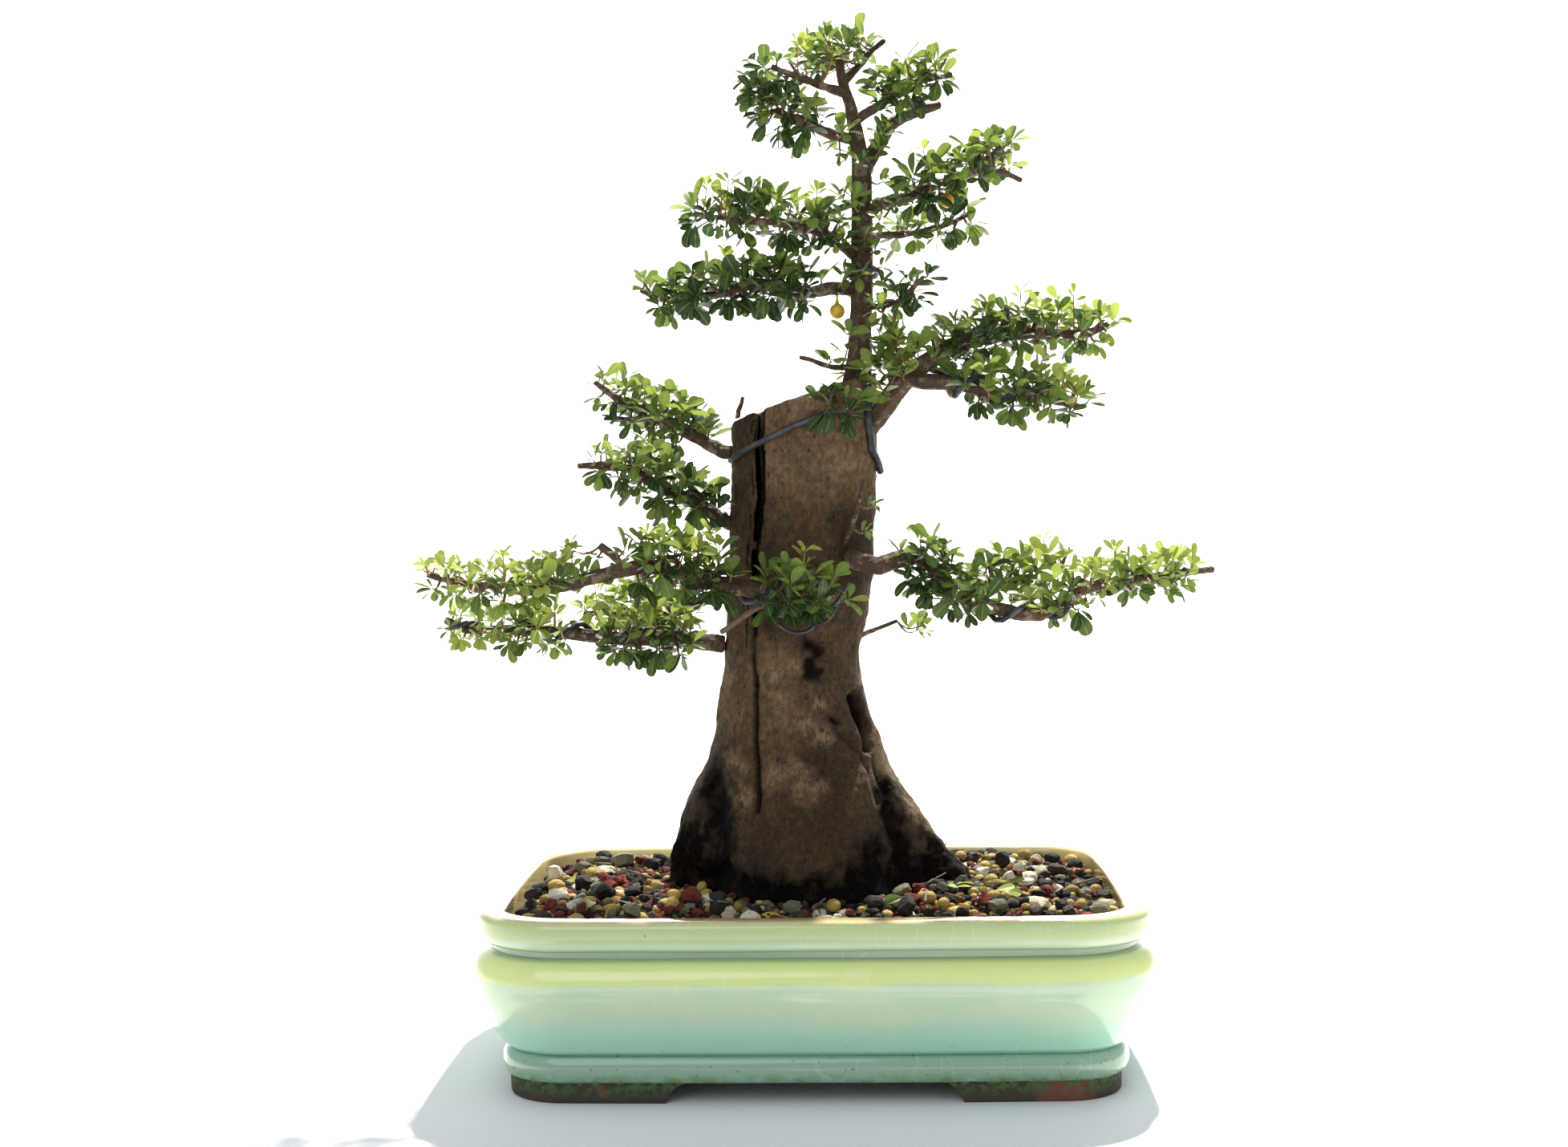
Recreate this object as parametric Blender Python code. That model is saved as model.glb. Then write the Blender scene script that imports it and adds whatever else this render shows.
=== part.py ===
"""A chopped bonsai tree, wired and in leaf, planted in a footed and glazed rectangular pot.

Metres, +Z up. The origin is on the ground, under the middle of the pot. +X is the pot's length and
-Y is the side that the tree is shown from. The tree's own heights are measured from the pot's rim.
"""
import math

import bmesh
import bpy
import numpy as np
from mathutils import Vector

# The pot, over its belly, and the steps of its wall from the ground up.
POT_LENGTH = 0.360
POT_DEPTH = 0.256
POT_HEIGHT = 0.096
CORNER_RADIUS = 0.049
SIDE_BOW = 0.003
FOOT_HEIGHT = 0.0108
FOOT_WIDTH = 0.017
FOOT_SETBACK = 0.0195
FOOT_TAPER = 0.0015
UNDERSIDE_CHAMFER = 0.0010
FOOT_GAP_X = 0.150
FOOT_GAP_Y = 0.096
FOOT_ARCH = 0.014
BAND_HEIGHT = 0.0142
BAND_BULGE = 0.0025
PINCH_INSET = 0.018
SHOULDER_DROP = 0.035
RIM_HEIGHT = 0.0145
RIM_INSET = 0.0035
RIM_WIDTH = 0.0145
RIM_ROUND = 0.004
GROOVE_HEIGHT = 0.0065
GROOVE_INSET = 0.0105
WALL = 0.012
FLOOR = 0.0105
DRAIN_RADIUS = 0.011
DRAIN_SPACING = 0.150

# What fills it.
SCREEN_SIZE = 0.034
SCREEN_THICKNESS = 0.0016
SOIL_BELOW_RIM = 0.018
GRIT_BELOW_RIM = 0.0075
GRIT_MOUND = 0.011
SEAT_GAP = 0.0003

# The trunk: its width and depth at the cut, how far it is buried, and how much the cut slopes.
TRUNK_HEIGHT = 0.266
TRUNK_WIDTH = 0.079
TRUNK_DEPTH = 0.066
TRUNK_BURIED = 0.030
CUT_RISE = 0.013
ROOT_DEPTH = 0.30
ROOT_RISE = 0.36
CRACK_WIDTH = 0.0075
CRACK_FOOT = 0.17
CRACK_PLACE = -0.36

# Outline of the trunk: (share of its height above the rim, left, right, half depth), the last three
# as shares of its width, width and depth. It flares into the surface roots below a quarter.
TRUNK_OUTLINE = (
    (-0.12, -1.07, 1.20, 1.14),
    (-0.03, -1.06, 1.16, 1.10),
    (0.02, -1.02, 1.09, 1.05),
    (0.06, -1.00, 0.95, 0.97),
    (0.11, -0.95, 0.82, 0.88),
    (0.17, -0.89, 0.69, 0.78),
    (0.24, -0.77, 0.54, 0.67),
    (0.32, -0.68, 0.43, 0.58),
    (0.40, -0.64, 0.34, 0.53),
    (0.47, -0.62, 0.32, 0.51),
    (0.57, -0.60, 0.39, 0.50),
    (0.69, -0.58, 0.43, 0.50),
    (0.84, -0.55, 0.455, 0.50),
    (1.00, -0.544, 0.456, 0.48),
)
# Bearing and spread of each surface root, in degrees round the trunk from +X.
ROOTS = ((-8, 15), (48, 24), (104, 26), (150, 22), (186, 20), (236, 20), (276, 34))

# The leader: the new top, grown from the right of the cut.
LEADER_HEIGHT = 0.192
LEADER_RADIUS = 0.0064
LEADER_PLACE = 0.36
WIRE_RADIUS = 0.0015
HEAVY_WIRE_RADIUS = 0.0020
LOOSE_TURN = 0.0004
LEAF_GAP = 0.003
LEAF_SIDES = 9
LEAF_RINGS = 7
LIMB_SIDES = 6
WIRE_SIDES = 6
WIRE_POINTS_PER_TURN = 9
TRUNK_SIDES = 30
SPAN_STEPS = 10
MESH_WELD = 0.00002
LOOKS = {}
KEEP_CLEAR = []


def clear_scene():
    for found in list(bpy.data.objects):
        bpy.data.objects.remove(found, do_unlink=True)


def material(name, colour, roughness, metallic=0.0):
    made = bpy.data.materials.new(name)
    made.use_nodes = True
    shader = made.node_tree.nodes["Principled BSDF"]
    shader.inputs["Base Color"].default_value = (*colour, 1.0)
    shader.inputs["Roughness"].default_value = roughness
    shader.inputs["Metallic"].default_value = metallic
    made.diffuse_color = (*colour, 1.0)
    return made


def add_solid(name, mesh_data, look):
    """A finished node: mesh_data is (points, triangles)."""
    mesh = bpy.data.meshes.new(name)
    points, triangles = mesh_data
    mesh.from_pydata([tuple(point) for point in points], [], triangles)
    mesh.update()
    made = bpy.data.objects.new(name, mesh)
    made.data.materials.append(look)
    bpy.context.scene.collection.objects.link(made)
    return made


def add_cutter(name, mesh_data):
    """A helper that only cuts or joins, so it is left out of the object."""
    made = add_solid(name, mesh_data, LOOKS["helper"])
    made.hide_render = True
    made.display_type = "WIRE"
    return made


def boolean(target, operation, helpers):
    """Cuts or joins every helper in turn, then keeps the largest body and drops the offcuts."""
    group = bpy.data.collections.new(target.name + "_" + operation.lower())
    for helper in helpers:
        group.objects.link(helper)
    step = target.modifiers.new(operation.title(), "BOOLEAN")
    step.operation = operation
    step.operand_type = "COLLECTION"
    step.collection = group
    step.solver = "EXACT"
    bpy.context.view_layer.update()
    graph = bpy.context.evaluated_depsgraph_get()
    mesh = bpy.data.meshes.new_from_object(target.evaluated_get(graph))
    target.modifiers.clear()
    keep_largest_body(mesh)
    look = target.data.materials[0]
    target.data = mesh
    mesh.materials.clear()
    mesh.materials.append(look)
    bpy.data.collections.remove(group)


def keep_largest_body(mesh):
    work = bmesh.new()
    work.from_mesh(mesh)
    bmesh.ops.remove_doubles(work, verts=work.verts, dist=MESH_WELD)
    bmesh.ops.triangulate(work, faces=work.faces)
    waiting = set(work.faces)
    bodies = []
    while waiting:
        body = {waiting.pop()}
        front = list(body)
        while front:
            for edge in front.pop().edges:
                for near in edge.link_faces:
                    if near not in body:
                        body.add(near)
                        front.append(near)
        waiting -= body
        bodies.append(body)
    bodies.sort(key=lambda body: sum(face.calc_area() for face in body))
    offcuts = [face for body in bodies[:-1] for face in body]
    bmesh.ops.delete(work, geom=offcuts, context="FACES")
    work.to_mesh(mesh)
    work.free()


def loft(rings):
    """Closed skin over rings of points, each ring anticlockwise about the way the loft goes."""
    count = len(rings[0])
    points = [point for ring in rings for point in ring]
    triangles = []
    for level in range(len(rings) - 1):
        low = level * count
        high = low + count
        for i in range(count):
            j = (i + 1) % count
            triangles += [(low + i, low + j, high + j), (low + i, high + j, high + i)]
    for level, turn in ((0, 1), (len(rings) - 1, -1)):
        centre = sum(rings[level], Vector()) / count
        points.append(centre)
        start = level * count
        for i in range(count):
            pair = (start + i, start + (i + 1) % count)[::-turn]
            triangles.append((len(points) - 1, *pair))
    return points, triangles


def smooth_route(route, count):
    """A smooth curve through the route's points, as count points evenly spaced."""
    knots = [Vector(point) for point in route]
    knots = [2 * knots[0] - knots[1], *knots, 2 * knots[-1] - knots[-2]]
    fine = []
    for a, b, c, d in zip(knots, knots[1:], knots[2:], knots[3:]):
        for step in range(SPAN_STEPS):
            t = step / SPAN_STEPS
            fine.append(0.5 * (2 * b + (c - a) * t + (2 * a - 5 * b + 4 * c - d) * t**2
                               + (3 * b - a - 3 * c + d) * t**3))
    fine.append(knots[-2])
    run = np.cumsum([0.0] + [(q - p).length for p, q in zip(fine, fine[1:])])
    wanted = np.linspace(0, run[-1], count)
    table = np.array(fine)
    return [Vector([np.interp(s, run, table[:, axis]) for axis in range(3)]) for s in wanted]


def frames(path):
    """(along, side, up) at each point of a path, turning no more than the path does."""
    found = []
    side = None
    for i, _ in enumerate(path):
        along = (path[min(i + 1, len(path) - 1)] - path[max(i - 1, 0)]).normalized()
        if side is None:
            side = along.cross(Vector((0.13, 0.21, 1.0))).normalized()
        side = (side - along * side.dot(along)).normalized()
        found.append((along, side, side.cross(along)))
    return found


def tube(path, radii, sides, grow=0.0):
    """A closed round tube along a path; grow makes it fatter and longer all over."""
    rings = []
    turned = frames(path)
    ends = {0: -grow, len(path) - 1: grow}
    for i, (centre, radius, (along, side, up)) in enumerate(zip(path, radii, turned)):
        middle = centre + along * ends.get(i, 0.0)
        reach = radius + grow / math.cos(math.pi / sides)
        ring = []
        for k in range(sides):
            angle = -2 * math.pi * k / sides
            ring.append(middle + (side * math.cos(angle) + up * math.sin(angle)) * reach)
        rings.append(ring)
    return loft(rings)


# ---------------------------------------------------------------- the pot and what fills it

def plan_ring(inset, height, centre=(0.0, 0.0)):
    """The pot's plan, a rectangle with round corners and slightly bowed sides, drawn in by inset."""
    half_x = POT_LENGTH / 2 - inset
    half_y = POT_DEPTH / 2 - inset
    corner = max(CORNER_RADIUS - inset, 0.2 * CORNER_RADIUS)
    ring = []
    for quarter in range(4):
        sign_x = 1 if quarter in (0, 3) else -1
        sign_y = 1 if quarter in (0, 1) else -1
        for step in range(6):
            angle = math.radians(90 * quarter + 18 * step)
            ring.append((sign_x * (half_x - corner) + corner * math.cos(angle),
                         sign_y * (half_y - corner) + corner * math.sin(angle)))
        straight = (-sign_x * (half_x - corner), sign_y * half_y)
        if quarter % 2:
            straight = (sign_x * half_x, -sign_y * (half_y - corner))
        last = ring[-1]
        for share in (0.2, 0.5, 0.8):
            ring.append((last[0] + share * (straight[0] - last[0]),
                         last[1] + share * (straight[1] - last[1])))
    bowed = []
    for x, y in ring:
        bowed.append(Vector((centre[0] + x * (1 - SIDE_BOW / half_x * (y / half_y) ** 2),
                             centre[1] + y * (1 - SIDE_BOW / half_y * (x / half_x) ** 2),
                             height)))
    return bowed


BAND_TOP = FOOT_HEIGHT + BAND_HEIGHT
BELLY_TOP = POT_HEIGHT - RIM_HEIGHT - GROOVE_HEIGHT
BELLY_WIDEST = POT_HEIGHT - SHOULDER_DROP
FLOOR_TOP = FOOT_HEIGHT + FLOOR
INNER_INSET = RIM_INSET + RIM_WIDTH


def belly_inset(height):
    """How far the belly's wall stands in from its widest line at a height below that line."""
    share = (height - BAND_TOP) / (BELLY_WIDEST - BAND_TOP)
    return PINCH_INSET * (1 - min(max(share, 0.0), 1.0)) ** 1.6


def inner_inset(height):
    """The inside wall: upright below the rim, then drawn in like the belly."""
    return INNER_INSET + (PINCH_INSET + WALL - INNER_INSET) * belly_inset(height) / PINCH_INSET


def inside_rings(low, high, gap):
    heights = [low + (high - low) * share for share in (0.0, 0.25, 0.6, 1.0)]
    return [plan_ring(inner_inset(height) + gap, height) for height in heights]


def pot_rings():
    rings = [plan_ring(PINCH_INSET + UNDERSIDE_CHAMFER, FOOT_HEIGHT)]
    for share in (0.3, 0.7):
        bulge = BAND_BULGE * math.sin(math.pi * share)
        rings.append(plan_ring(PINCH_INSET - bulge, FOOT_HEIGHT + share * BAND_HEIGHT))
    rings.append(plan_ring(PINCH_INSET, BAND_TOP))
    for share in (0.15, 0.38, 0.65, 1.0):
        height = BAND_TOP + share * (BELLY_WIDEST - BAND_TOP)
        rings.append(plan_ring(belly_inset(height), height))
    for share in (0.55, 1.0):
        height = BELLY_WIDEST + share * (BELLY_TOP - BELLY_WIDEST)
        rings.append(plan_ring(0.5 * GROOVE_INSET * share**2, height))
    rings.append(plan_ring(GROOVE_INSET, BELLY_TOP + 0.3 * GROOVE_HEIGHT))
    rings.append(plan_ring(GROOVE_INSET, BELLY_TOP + 0.8 * GROOVE_HEIGHT))
    rings.append(plan_ring(RIM_INSET + 0.4 * RIM_ROUND, BELLY_TOP + GROOVE_HEIGHT))
    rings.append(plan_ring(RIM_INSET, BELLY_TOP + GROOVE_HEIGHT + 0.5 * RIM_ROUND))
    for turn in (0, 45, 90):
        angle = math.radians(turn)
        rings.append(plan_ring(RIM_INSET + RIM_ROUND * (1 - math.cos(angle)),
                               POT_HEIGHT - RIM_ROUND * (1 - math.sin(angle))))
    rings.append(plan_ring(INNER_INSET - 0.5 * RIM_ROUND, POT_HEIGHT))
    rings.append(plan_ring(INNER_INSET, POT_HEIGHT - 0.5 * RIM_ROUND))
    rings += inside_rings(FLOOR_TOP, BELLY_TOP, 0.0)[::-1]
    return rings


def prism(outline, low, high, axis):
    """An outline of (across, height) points pushed along X or Y from low to high."""
    rings = []
    for place in (low, high):
        ring = []
        for across, height in outline:
            ring.append(Vector((place, across, height) if axis == "X" else (across, place, height)))
        rings.append(ring)
    return loft(rings) if axis == "X" else loft([ring[::-1] for ring in rings])


def arch_outline(gap):
    """The opening between two feet, seen square on: upright ends that curve over at the top."""
    half = gap / 2
    below = -FOOT_HEIGHT
    outline = [(-half, below), (half, below)]
    for turn in (0, 30, 60, 90):
        angle = math.radians(turn)
        outline.append((half - FOOT_ARCH * (1 - math.cos(angle)), FOOT_HEIGHT * math.sin(angle)))
    outline.append((half - FOOT_ARCH, 2 * FOOT_HEIGHT))
    return outline + [(-x, z) for x, z in outline[:1:-1]]


def cylinder(x, y, low, high, radius, sides):
    rings = []
    for height in (low, high):
        ring = []
        for k in range(sides):
            angle = 2 * math.pi * k / sides
            ring.append(Vector((x + radius * math.cos(angle), y + radius * math.sin(angle), height)))
        rings.append(ring)
    return loft(rings)


def make_pot():
    into_floor = FOOT_HEIGHT + 0.3 * FLOOR
    outside = [plan_ring(FOOT_SETBACK + FOOT_TAPER, 0.0), plan_ring(FOOT_SETBACK, into_floor)]
    inside = [plan_ring(FOOT_SETBACK + FOOT_WIDTH, -FOOT_HEIGHT),
              plan_ring(FOOT_SETBACK + FOOT_WIDTH, 2 * into_floor)]
    feet = add_cutter("feet", loft(outside))
    hollow = add_cutter("feet_hollow", loft(inside))
    arch_x = add_cutter("arch_front", prism(arch_outline(FOOT_GAP_X), -POT_DEPTH, POT_DEPTH, "Y"))
    arch_y = add_cutter("arch_side", prism(arch_outline(FOOT_GAP_Y), -POT_LENGTH, POT_LENGTH, "X"))
    for helper in (hollow, arch_x, arch_y):
        cut = feet.modifiers.new(helper.name, "BOOLEAN")
        cut.operation = "DIFFERENCE"
        cut.object = helper
    pot = add_solid("pot", loft(pot_rings()), LOOKS["glaze"])
    boolean(pot, "UNION", [feet])
    drains = []
    for side in (-1, 1):
        drains.append(add_cutter(f"drain_{side}", cylinder(
            side * DRAIN_SPACING / 2, 0.0, 0.0, 2 * FLOOR_TOP, DRAIN_RADIUS, 20)))
    boolean(pot, "DIFFERENCE", drains)


def make_screens():
    """Plastic mesh screens that lie over the drain holes, under the soil."""
    low = FLOOR_TOP + SEAT_GAP
    made = []
    for name, side in (("left", -1), ("right", 1)):
        x = side * DRAIN_SPACING / 2
        half = SCREEN_SIZE / 2
        outline = [(x - half, low), (x + half, low),
                   (x + half, low + SCREEN_THICKNESS), (x - half, low + SCREEN_THICKNESS)]
        add_solid("drain_screen_" + name, prism(outline, -half, half, "Y"), LOOKS["screen"])
        wide = half + SEAT_GAP
        over = [(x - wide, low - SEAT_GAP), (x + wide, low - SEAT_GAP),
                (x + wide, low + SCREEN_THICKNESS + SEAT_GAP),
                (x - wide, low + SCREEN_THICKNESS + SEAT_GAP)]
        made.append(add_cutter("screen_room_" + name, prism(over, -wide, wide, "Y")))
    return made


SOIL_TOP = POT_HEIGHT - SOIL_BELOW_RIM
GRIT_EDGE = POT_HEIGHT - GRIT_BELOW_RIM


def make_fill(screens, trunk_room):
    soil = add_solid("potting_soil", loft(inside_rings(
        FLOOR_TOP + SEAT_GAP, SOIL_TOP, SEAT_GAP)), LOOKS["soil"])
    boolean(soil, "DIFFERENCE", [*screens, trunk_room])
    low = SOIL_TOP + SEAT_GAP
    inset = INNER_INSET + SEAT_GAP
    rings = [plan_ring(inset, low), plan_ring(inset, GRIT_EDGE)]
    for share in (0.12, 0.3, 0.5):
        rise = GRIT_MOUND * math.sin(math.pi * share)
        rings.append([Vector((point.x * (1 - share), point.y * (1 - share), GRIT_EDGE + rise))
                      for point in plan_ring(inset, 0.0)])
    grit = add_solid("grit_top_dressing", loft(rings), LOOKS["grit"])
    boolean(grit, "DIFFERENCE", [trunk_room])


# ---------------------------------------------------------------- the trunk

def root_shape(bearing):
    """1 on the crest of a surface root, falling to 0 in the gullies between them."""
    total = 0.0
    for centre, spread in ROOTS:
        away = (math.degrees(bearing) - centre + 180) % 360 - 180
        total += math.exp(-((away / spread) ** 2))
    return min(total, 1.0)


def trunk_point(share, bearing, grow=0.0):
    """A point on the trunk's skin, at a share of its height above the rim and a bearing round it."""
    outline = np.array(TRUNK_OUTLINE)
    left, right, deep = (np.interp(share, outline[:, 0], outline[:, i]) for i in (1, 2, 3))
    half_x = TRUNK_WIDTH * (right - left) / 2
    half_y = TRUNK_DEPTH * deep
    fade = min(max((ROOT_RISE - share) / ROOT_RISE, 0.0), 1.0)
    pull = 1 - ROOT_DEPTH * fade**1.5 * (1 - root_shape(bearing))
    lean = min(max((share - 0.72) / 0.28, 0.0), 1.0) ** 2
    out_x = math.cos(bearing) * (half_x * pull + grow)
    out_y = math.sin(bearing) * (half_y * pull + grow)
    rise = CUT_RISE * lean * math.cos(bearing) * pull
    return Vector((TRUNK_WIDTH * (right + left) / 2 + out_x, out_y,
                   POT_HEIGHT + TRUNK_HEIGHT * share + rise))


def trunk_rings(grow=0.0):
    low = -TRUNK_BURIED / TRUNK_HEIGHT
    levels = [low, -0.03, 0.0, 0.03, 0.065, 0.1, 0.14, 0.18, 0.23, 0.28, 0.34, 0.4, 0.47, 0.55,
              0.63, 0.72, 0.8, 0.87, 0.94, 1.0]
    rings = []
    for level in levels:
        ring = [trunk_point(level, 2 * math.pi * k / TRUNK_SIDES, grow) for k in range(TRUNK_SIDES)]
        lift = {low: -grow, 1.0: grow}.get(level, 0.0)
        rings.append([point + Vector((0, 0, lift)) for point in ring])
    return rings


def crack_cutter():
    """The split between the slab on the left and the rest: a wedge that closes lower down."""
    middle = CRACK_PLACE * TRUNK_WIDTH
    top = POT_HEIGHT + 1.1 * TRUNK_HEIGHT
    foot = POT_HEIGHT + CRACK_FOOT * TRUNK_HEIGHT
    rings = []
    for share, half, drift in ((0.0, 0.03, -0.0010), (0.25, 0.10, -0.0025), (0.5, 0.22, -0.0022),
                               (0.72, 0.33, 0.0018), (1.0, 0.50, 0.0)):
        height = foot + share * (top - foot)
        reach = (0.30 + 0.35 * share) * TRUNK_DEPTH
        wide = half * CRACK_WIDTH
        x = middle + drift
        rings.append([Vector((x - wide, -2 * TRUNK_DEPTH, height)),
                      Vector((x + wide, -2 * TRUNK_DEPTH, height)),
                      Vector((x + 0.6 * wide, -TRUNK_DEPTH / 2 + reach, height)),
                      Vector((x - 0.6 * wide, -TRUNK_DEPTH / 2 + reach, height))])
    return loft(rings)


def ball(centre, half, sides=10, levels=6):
    rings = []
    for level in range(1, levels):
        angle = math.pi * level / levels
        ring = []
        for k in range(sides):
            turn = 2 * math.pi * k / sides
            ring.append(Vector((centre[0] + half[0] * math.sin(angle) * math.cos(turn),
                                centre[1] + half[1] * math.sin(angle) * math.sin(turn),
                                centre[2] - half[2] * math.cos(angle))))
        rings.append(ring)
    return loft(rings)


def make_trunk():
    trunk = add_solid("trunk", loft(trunk_rings()), LOOKS["bark"])
    hollow = trunk_point(0.33, math.radians(-42))
    boolean(trunk, "DIFFERENCE", [
        add_cutter("crack", crack_cutter()),
        add_cutter("rot_hollow", ball(hollow, (0.005, 0.009, 0.014))),
    ])
    return add_cutter("trunk_room", loft(trunk_rings(SEAT_GAP + 0.0001)))


# ---------------------------------------------------------------- limbs, wires and leaves

def bounds(mesh_data):
    points = np.array([tuple(point) for point in mesh_data[0]])
    return points.min(axis=0), points.max(axis=0)


def keep_clear(helper, mesh_data):
    low, high = bounds(mesh_data)
    KEEP_CLEAR.append((helper, low, high))


def near(mesh_data):
    low, high = bounds(mesh_data)
    return [helper for helper, a, b in KEEP_CLEAR if (a < high).all() and (low < b).all()]


class Limb:
    """A stem with its forks. Each fork is (share along the stem where it leaves, steps, radii)."""

    def __init__(self, name, seat, steps, radii, carrier, forks=(), count=13, wired=0.0, wired_stem=0):
        self.name = name
        route = [seat, *[Vector(seat) + Vector(step) for step in steps]]
        inside = Vector(route[0]) - (Vector(route[1]) - Vector(route[0])).normalized() * radii[0]
        self.path = smooth_route([inside, *route], count)
        self.radii = self.taper(radii, count)
        self.stems = [(self.path, self.radii)]
        for share, fork_steps, fork_radii in forks:
            start = self.at(share)
            fork_route = [start, *[Vector(start) + Vector(step) for step in fork_steps]]
            fork_count = max(5, min(10, 2 + 2 * len(fork_steps)))
            fork_path = smooth_route(fork_route, fork_count)
            self.stems.append((fork_path, self.taper(fork_radii, fork_count)))
        solid = add_solid(name, tube(self.path, self.radii, LIMB_SIDES), LOOKS["young_bark"])
        helpers = [add_cutter(f"{name}_fork_{i}", tube(*stem, LIMB_SIDES))
                   for i, stem in enumerate(self.stems[1:])]
        if helpers:
            boolean(solid, "UNION", helpers)
        if carrier:
            boolean(solid, "DIFFERENCE", carrier)
        self.room = []
        for i, (path, stem_radii) in enumerate(self.stems):
            if wired and i == wired_stem:
                stem_radii = [(radius + wired) / math.cos(math.pi / LIMB_SIDES) for radius in stem_radii]
            data = tube(path, stem_radii, LIMB_SIDES, SEAT_GAP)
            helper = add_cutter(f"{name}_room_{i}", data)
            self.room.append(helper)
            keep_clear(helper, data)

    @staticmethod
    def taper(radii, count):
        shares = np.linspace(0, 1, count)
        return list(np.interp(shares, np.linspace(0, 1, len(radii)), radii))

    def at(self, share, stem=0):
        path = self.stems[stem][0]
        place = share * (len(path) - 1)
        low = min(int(place), len(path) - 2)
        return path[low].lerp(path[low + 1], place - low)

    def radius_at(self, share, stem=0):
        radii = self.stems[stem][1]
        return float(np.interp(share * (len(radii) - 1), range(len(radii)), radii))

    def skin(self, share, bearing, stem=0):
        """A point on the stem's skin, at a bearing round the vertical."""
        out = Vector((math.cos(bearing), math.sin(bearing), 0.0))
        return self.at(share, stem) + out * self.radius_at(share, stem)


def coil(limb, start, end, turns, wire_radius, stem=0, loose=0.0, phase=0.0):
    """Points of a wire wound round a stem, loosest where it starts."""
    steps = int(turns * WIRE_POINTS_PER_TURN)
    fine = smooth_route(limb.stems[stem][0], 8 * steps)
    turned = frames(fine)
    points = []
    for i in range(steps + 1):
        share = start + (end - start) * i / steps
        place = min(int(share * (len(fine) - 1)), len(fine) - 1)
        _, side, up = turned[place]
        slack = loose * (1 - i / steps) ** 2
        reach = limb.radius_at(share, stem) + wire_radius * 1.06 + 2 * SEAT_GAP + slack
        angle = phase + 2 * math.pi * turns * i / steps
        points.append(fine[place] + (side * math.cos(angle) + up * math.sin(angle)) * reach)
    return points


def trunk_wrap(stops, wire_radius, count):
    """Points of a wire laid on the trunk: each stop is (share of the height, bearing in degrees)."""
    points = []
    shares = np.linspace(0, len(stops) - 1, count)
    for share in shares:
        height, bearing = (np.interp(share, range(len(stops)), column) for column in zip(*stops))
        points.append(trunk_point(height, math.radians(bearing), wire_radius + 2 * SEAT_GAP))
    return smooth_route(points, count)


def make_wire(name, points, radius, in_limb_room=True):
    """A wire: one coiled on a stem lies in the room that the leaves already leave that stem."""
    flat = [radius] * len(points)
    add_solid(name, tube(points, flat, WIRE_SIDES), LOOKS["wire"])
    if not in_limb_room:
        data = tube(points, flat, WIRE_SIDES, SEAT_GAP)
        keep_clear(add_cutter(name + "_room", data), data)


def make_leaves(name, limb, start, end, half_width, half_height, shift=(0, 0, 0), stem=0, past=0.0):
    """The mass of leaves round a stretch of a stem, lumpy, blunt at both ends, holding its stem."""
    stretch = [limb.at(start + (end - start) * i / 6, stem) for i in range(7)]
    beyond = (stretch[-1] - stretch[-2]).normalized() * past
    middle = smooth_route([*stretch[:-1], stretch[-1] + beyond], LEAF_RINGS)
    wobble = sum(map(ord, name))
    solids = []
    for grow in (0.0, LEAF_GAP):
        rings = []
        for i, centre in enumerate(middle):
            share = i / (len(middle) - 1)
            along = (middle[min(i + 1, LEAF_RINGS - 1)] - middle[max(i - 1, 0)]).normalized()
            side = along.cross(Vector((0, 0, 1))).normalized()
            up = side.cross(along)
            blunt = max(1 - abs(2 * share - 1) ** 3.2, 0.0) ** 0.5 * 0.72 + 0.28
            reach = {0: -grow, len(middle) - 1: grow}.get(i, 0.0)
            ring = []
            for k in range(LEAF_SIDES):
                angle = -2 * math.pi * k / LEAF_SIDES
                lump = 1 + 0.09 * math.sin(3 * angle + wobble + 2.1 * i) * (0 < i < LEAF_RINGS - 1)
                ring.append(centre + Vector(shift) + along * reach
                            + side * math.cos(angle) * (half_width * blunt * lump + grow)
                            + up * math.sin(angle) * (half_height * blunt * lump + grow))
            rings.append(ring)
        solids.append(loft(rings))
    plain, grown = solids
    leaves = add_solid(name, plain, LOOKS["leaf"])
    cutters = near(plain)
    if cutters:
        boolean(leaves, "DIFFERENCE", cutters)
    keep_clear(add_cutter(name + "_room", grown), grown)


def make_looks():
    LOOKS["helper"] = material("helper", (0.8, 0.2, 0.8), 0.5)
    LOOKS["glaze"] = material("celadon_glaze", (0.50, 0.60, 0.42), 0.18)
    LOOKS["screen"] = material("screen_plastic", (0.05, 0.05, 0.05), 0.6)
    LOOKS["soil"] = material("potting_soil", (0.11, 0.07, 0.045), 0.95)
    LOOKS["grit"] = material("grit", (0.36, 0.29, 0.20), 0.9)
    LOOKS["bark"] = material("bark", (0.22, 0.17, 0.13), 0.85)
    LOOKS["young_bark"] = material("young_bark", (0.30, 0.22, 0.16), 0.75)
    LOOKS["leaf"] = material("leaf", (0.16, 0.33, 0.06), 0.35)
    LOOKS["wire"] = material("wire", (0.06, 0.06, 0.07), 0.4, 1.0)
    LOOKS["fruit"] = material("fruit", (0.75, 0.42, 0.06), 0.3)


def on_trunk(share, degrees):
    return trunk_point(share, math.radians(degrees))


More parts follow.
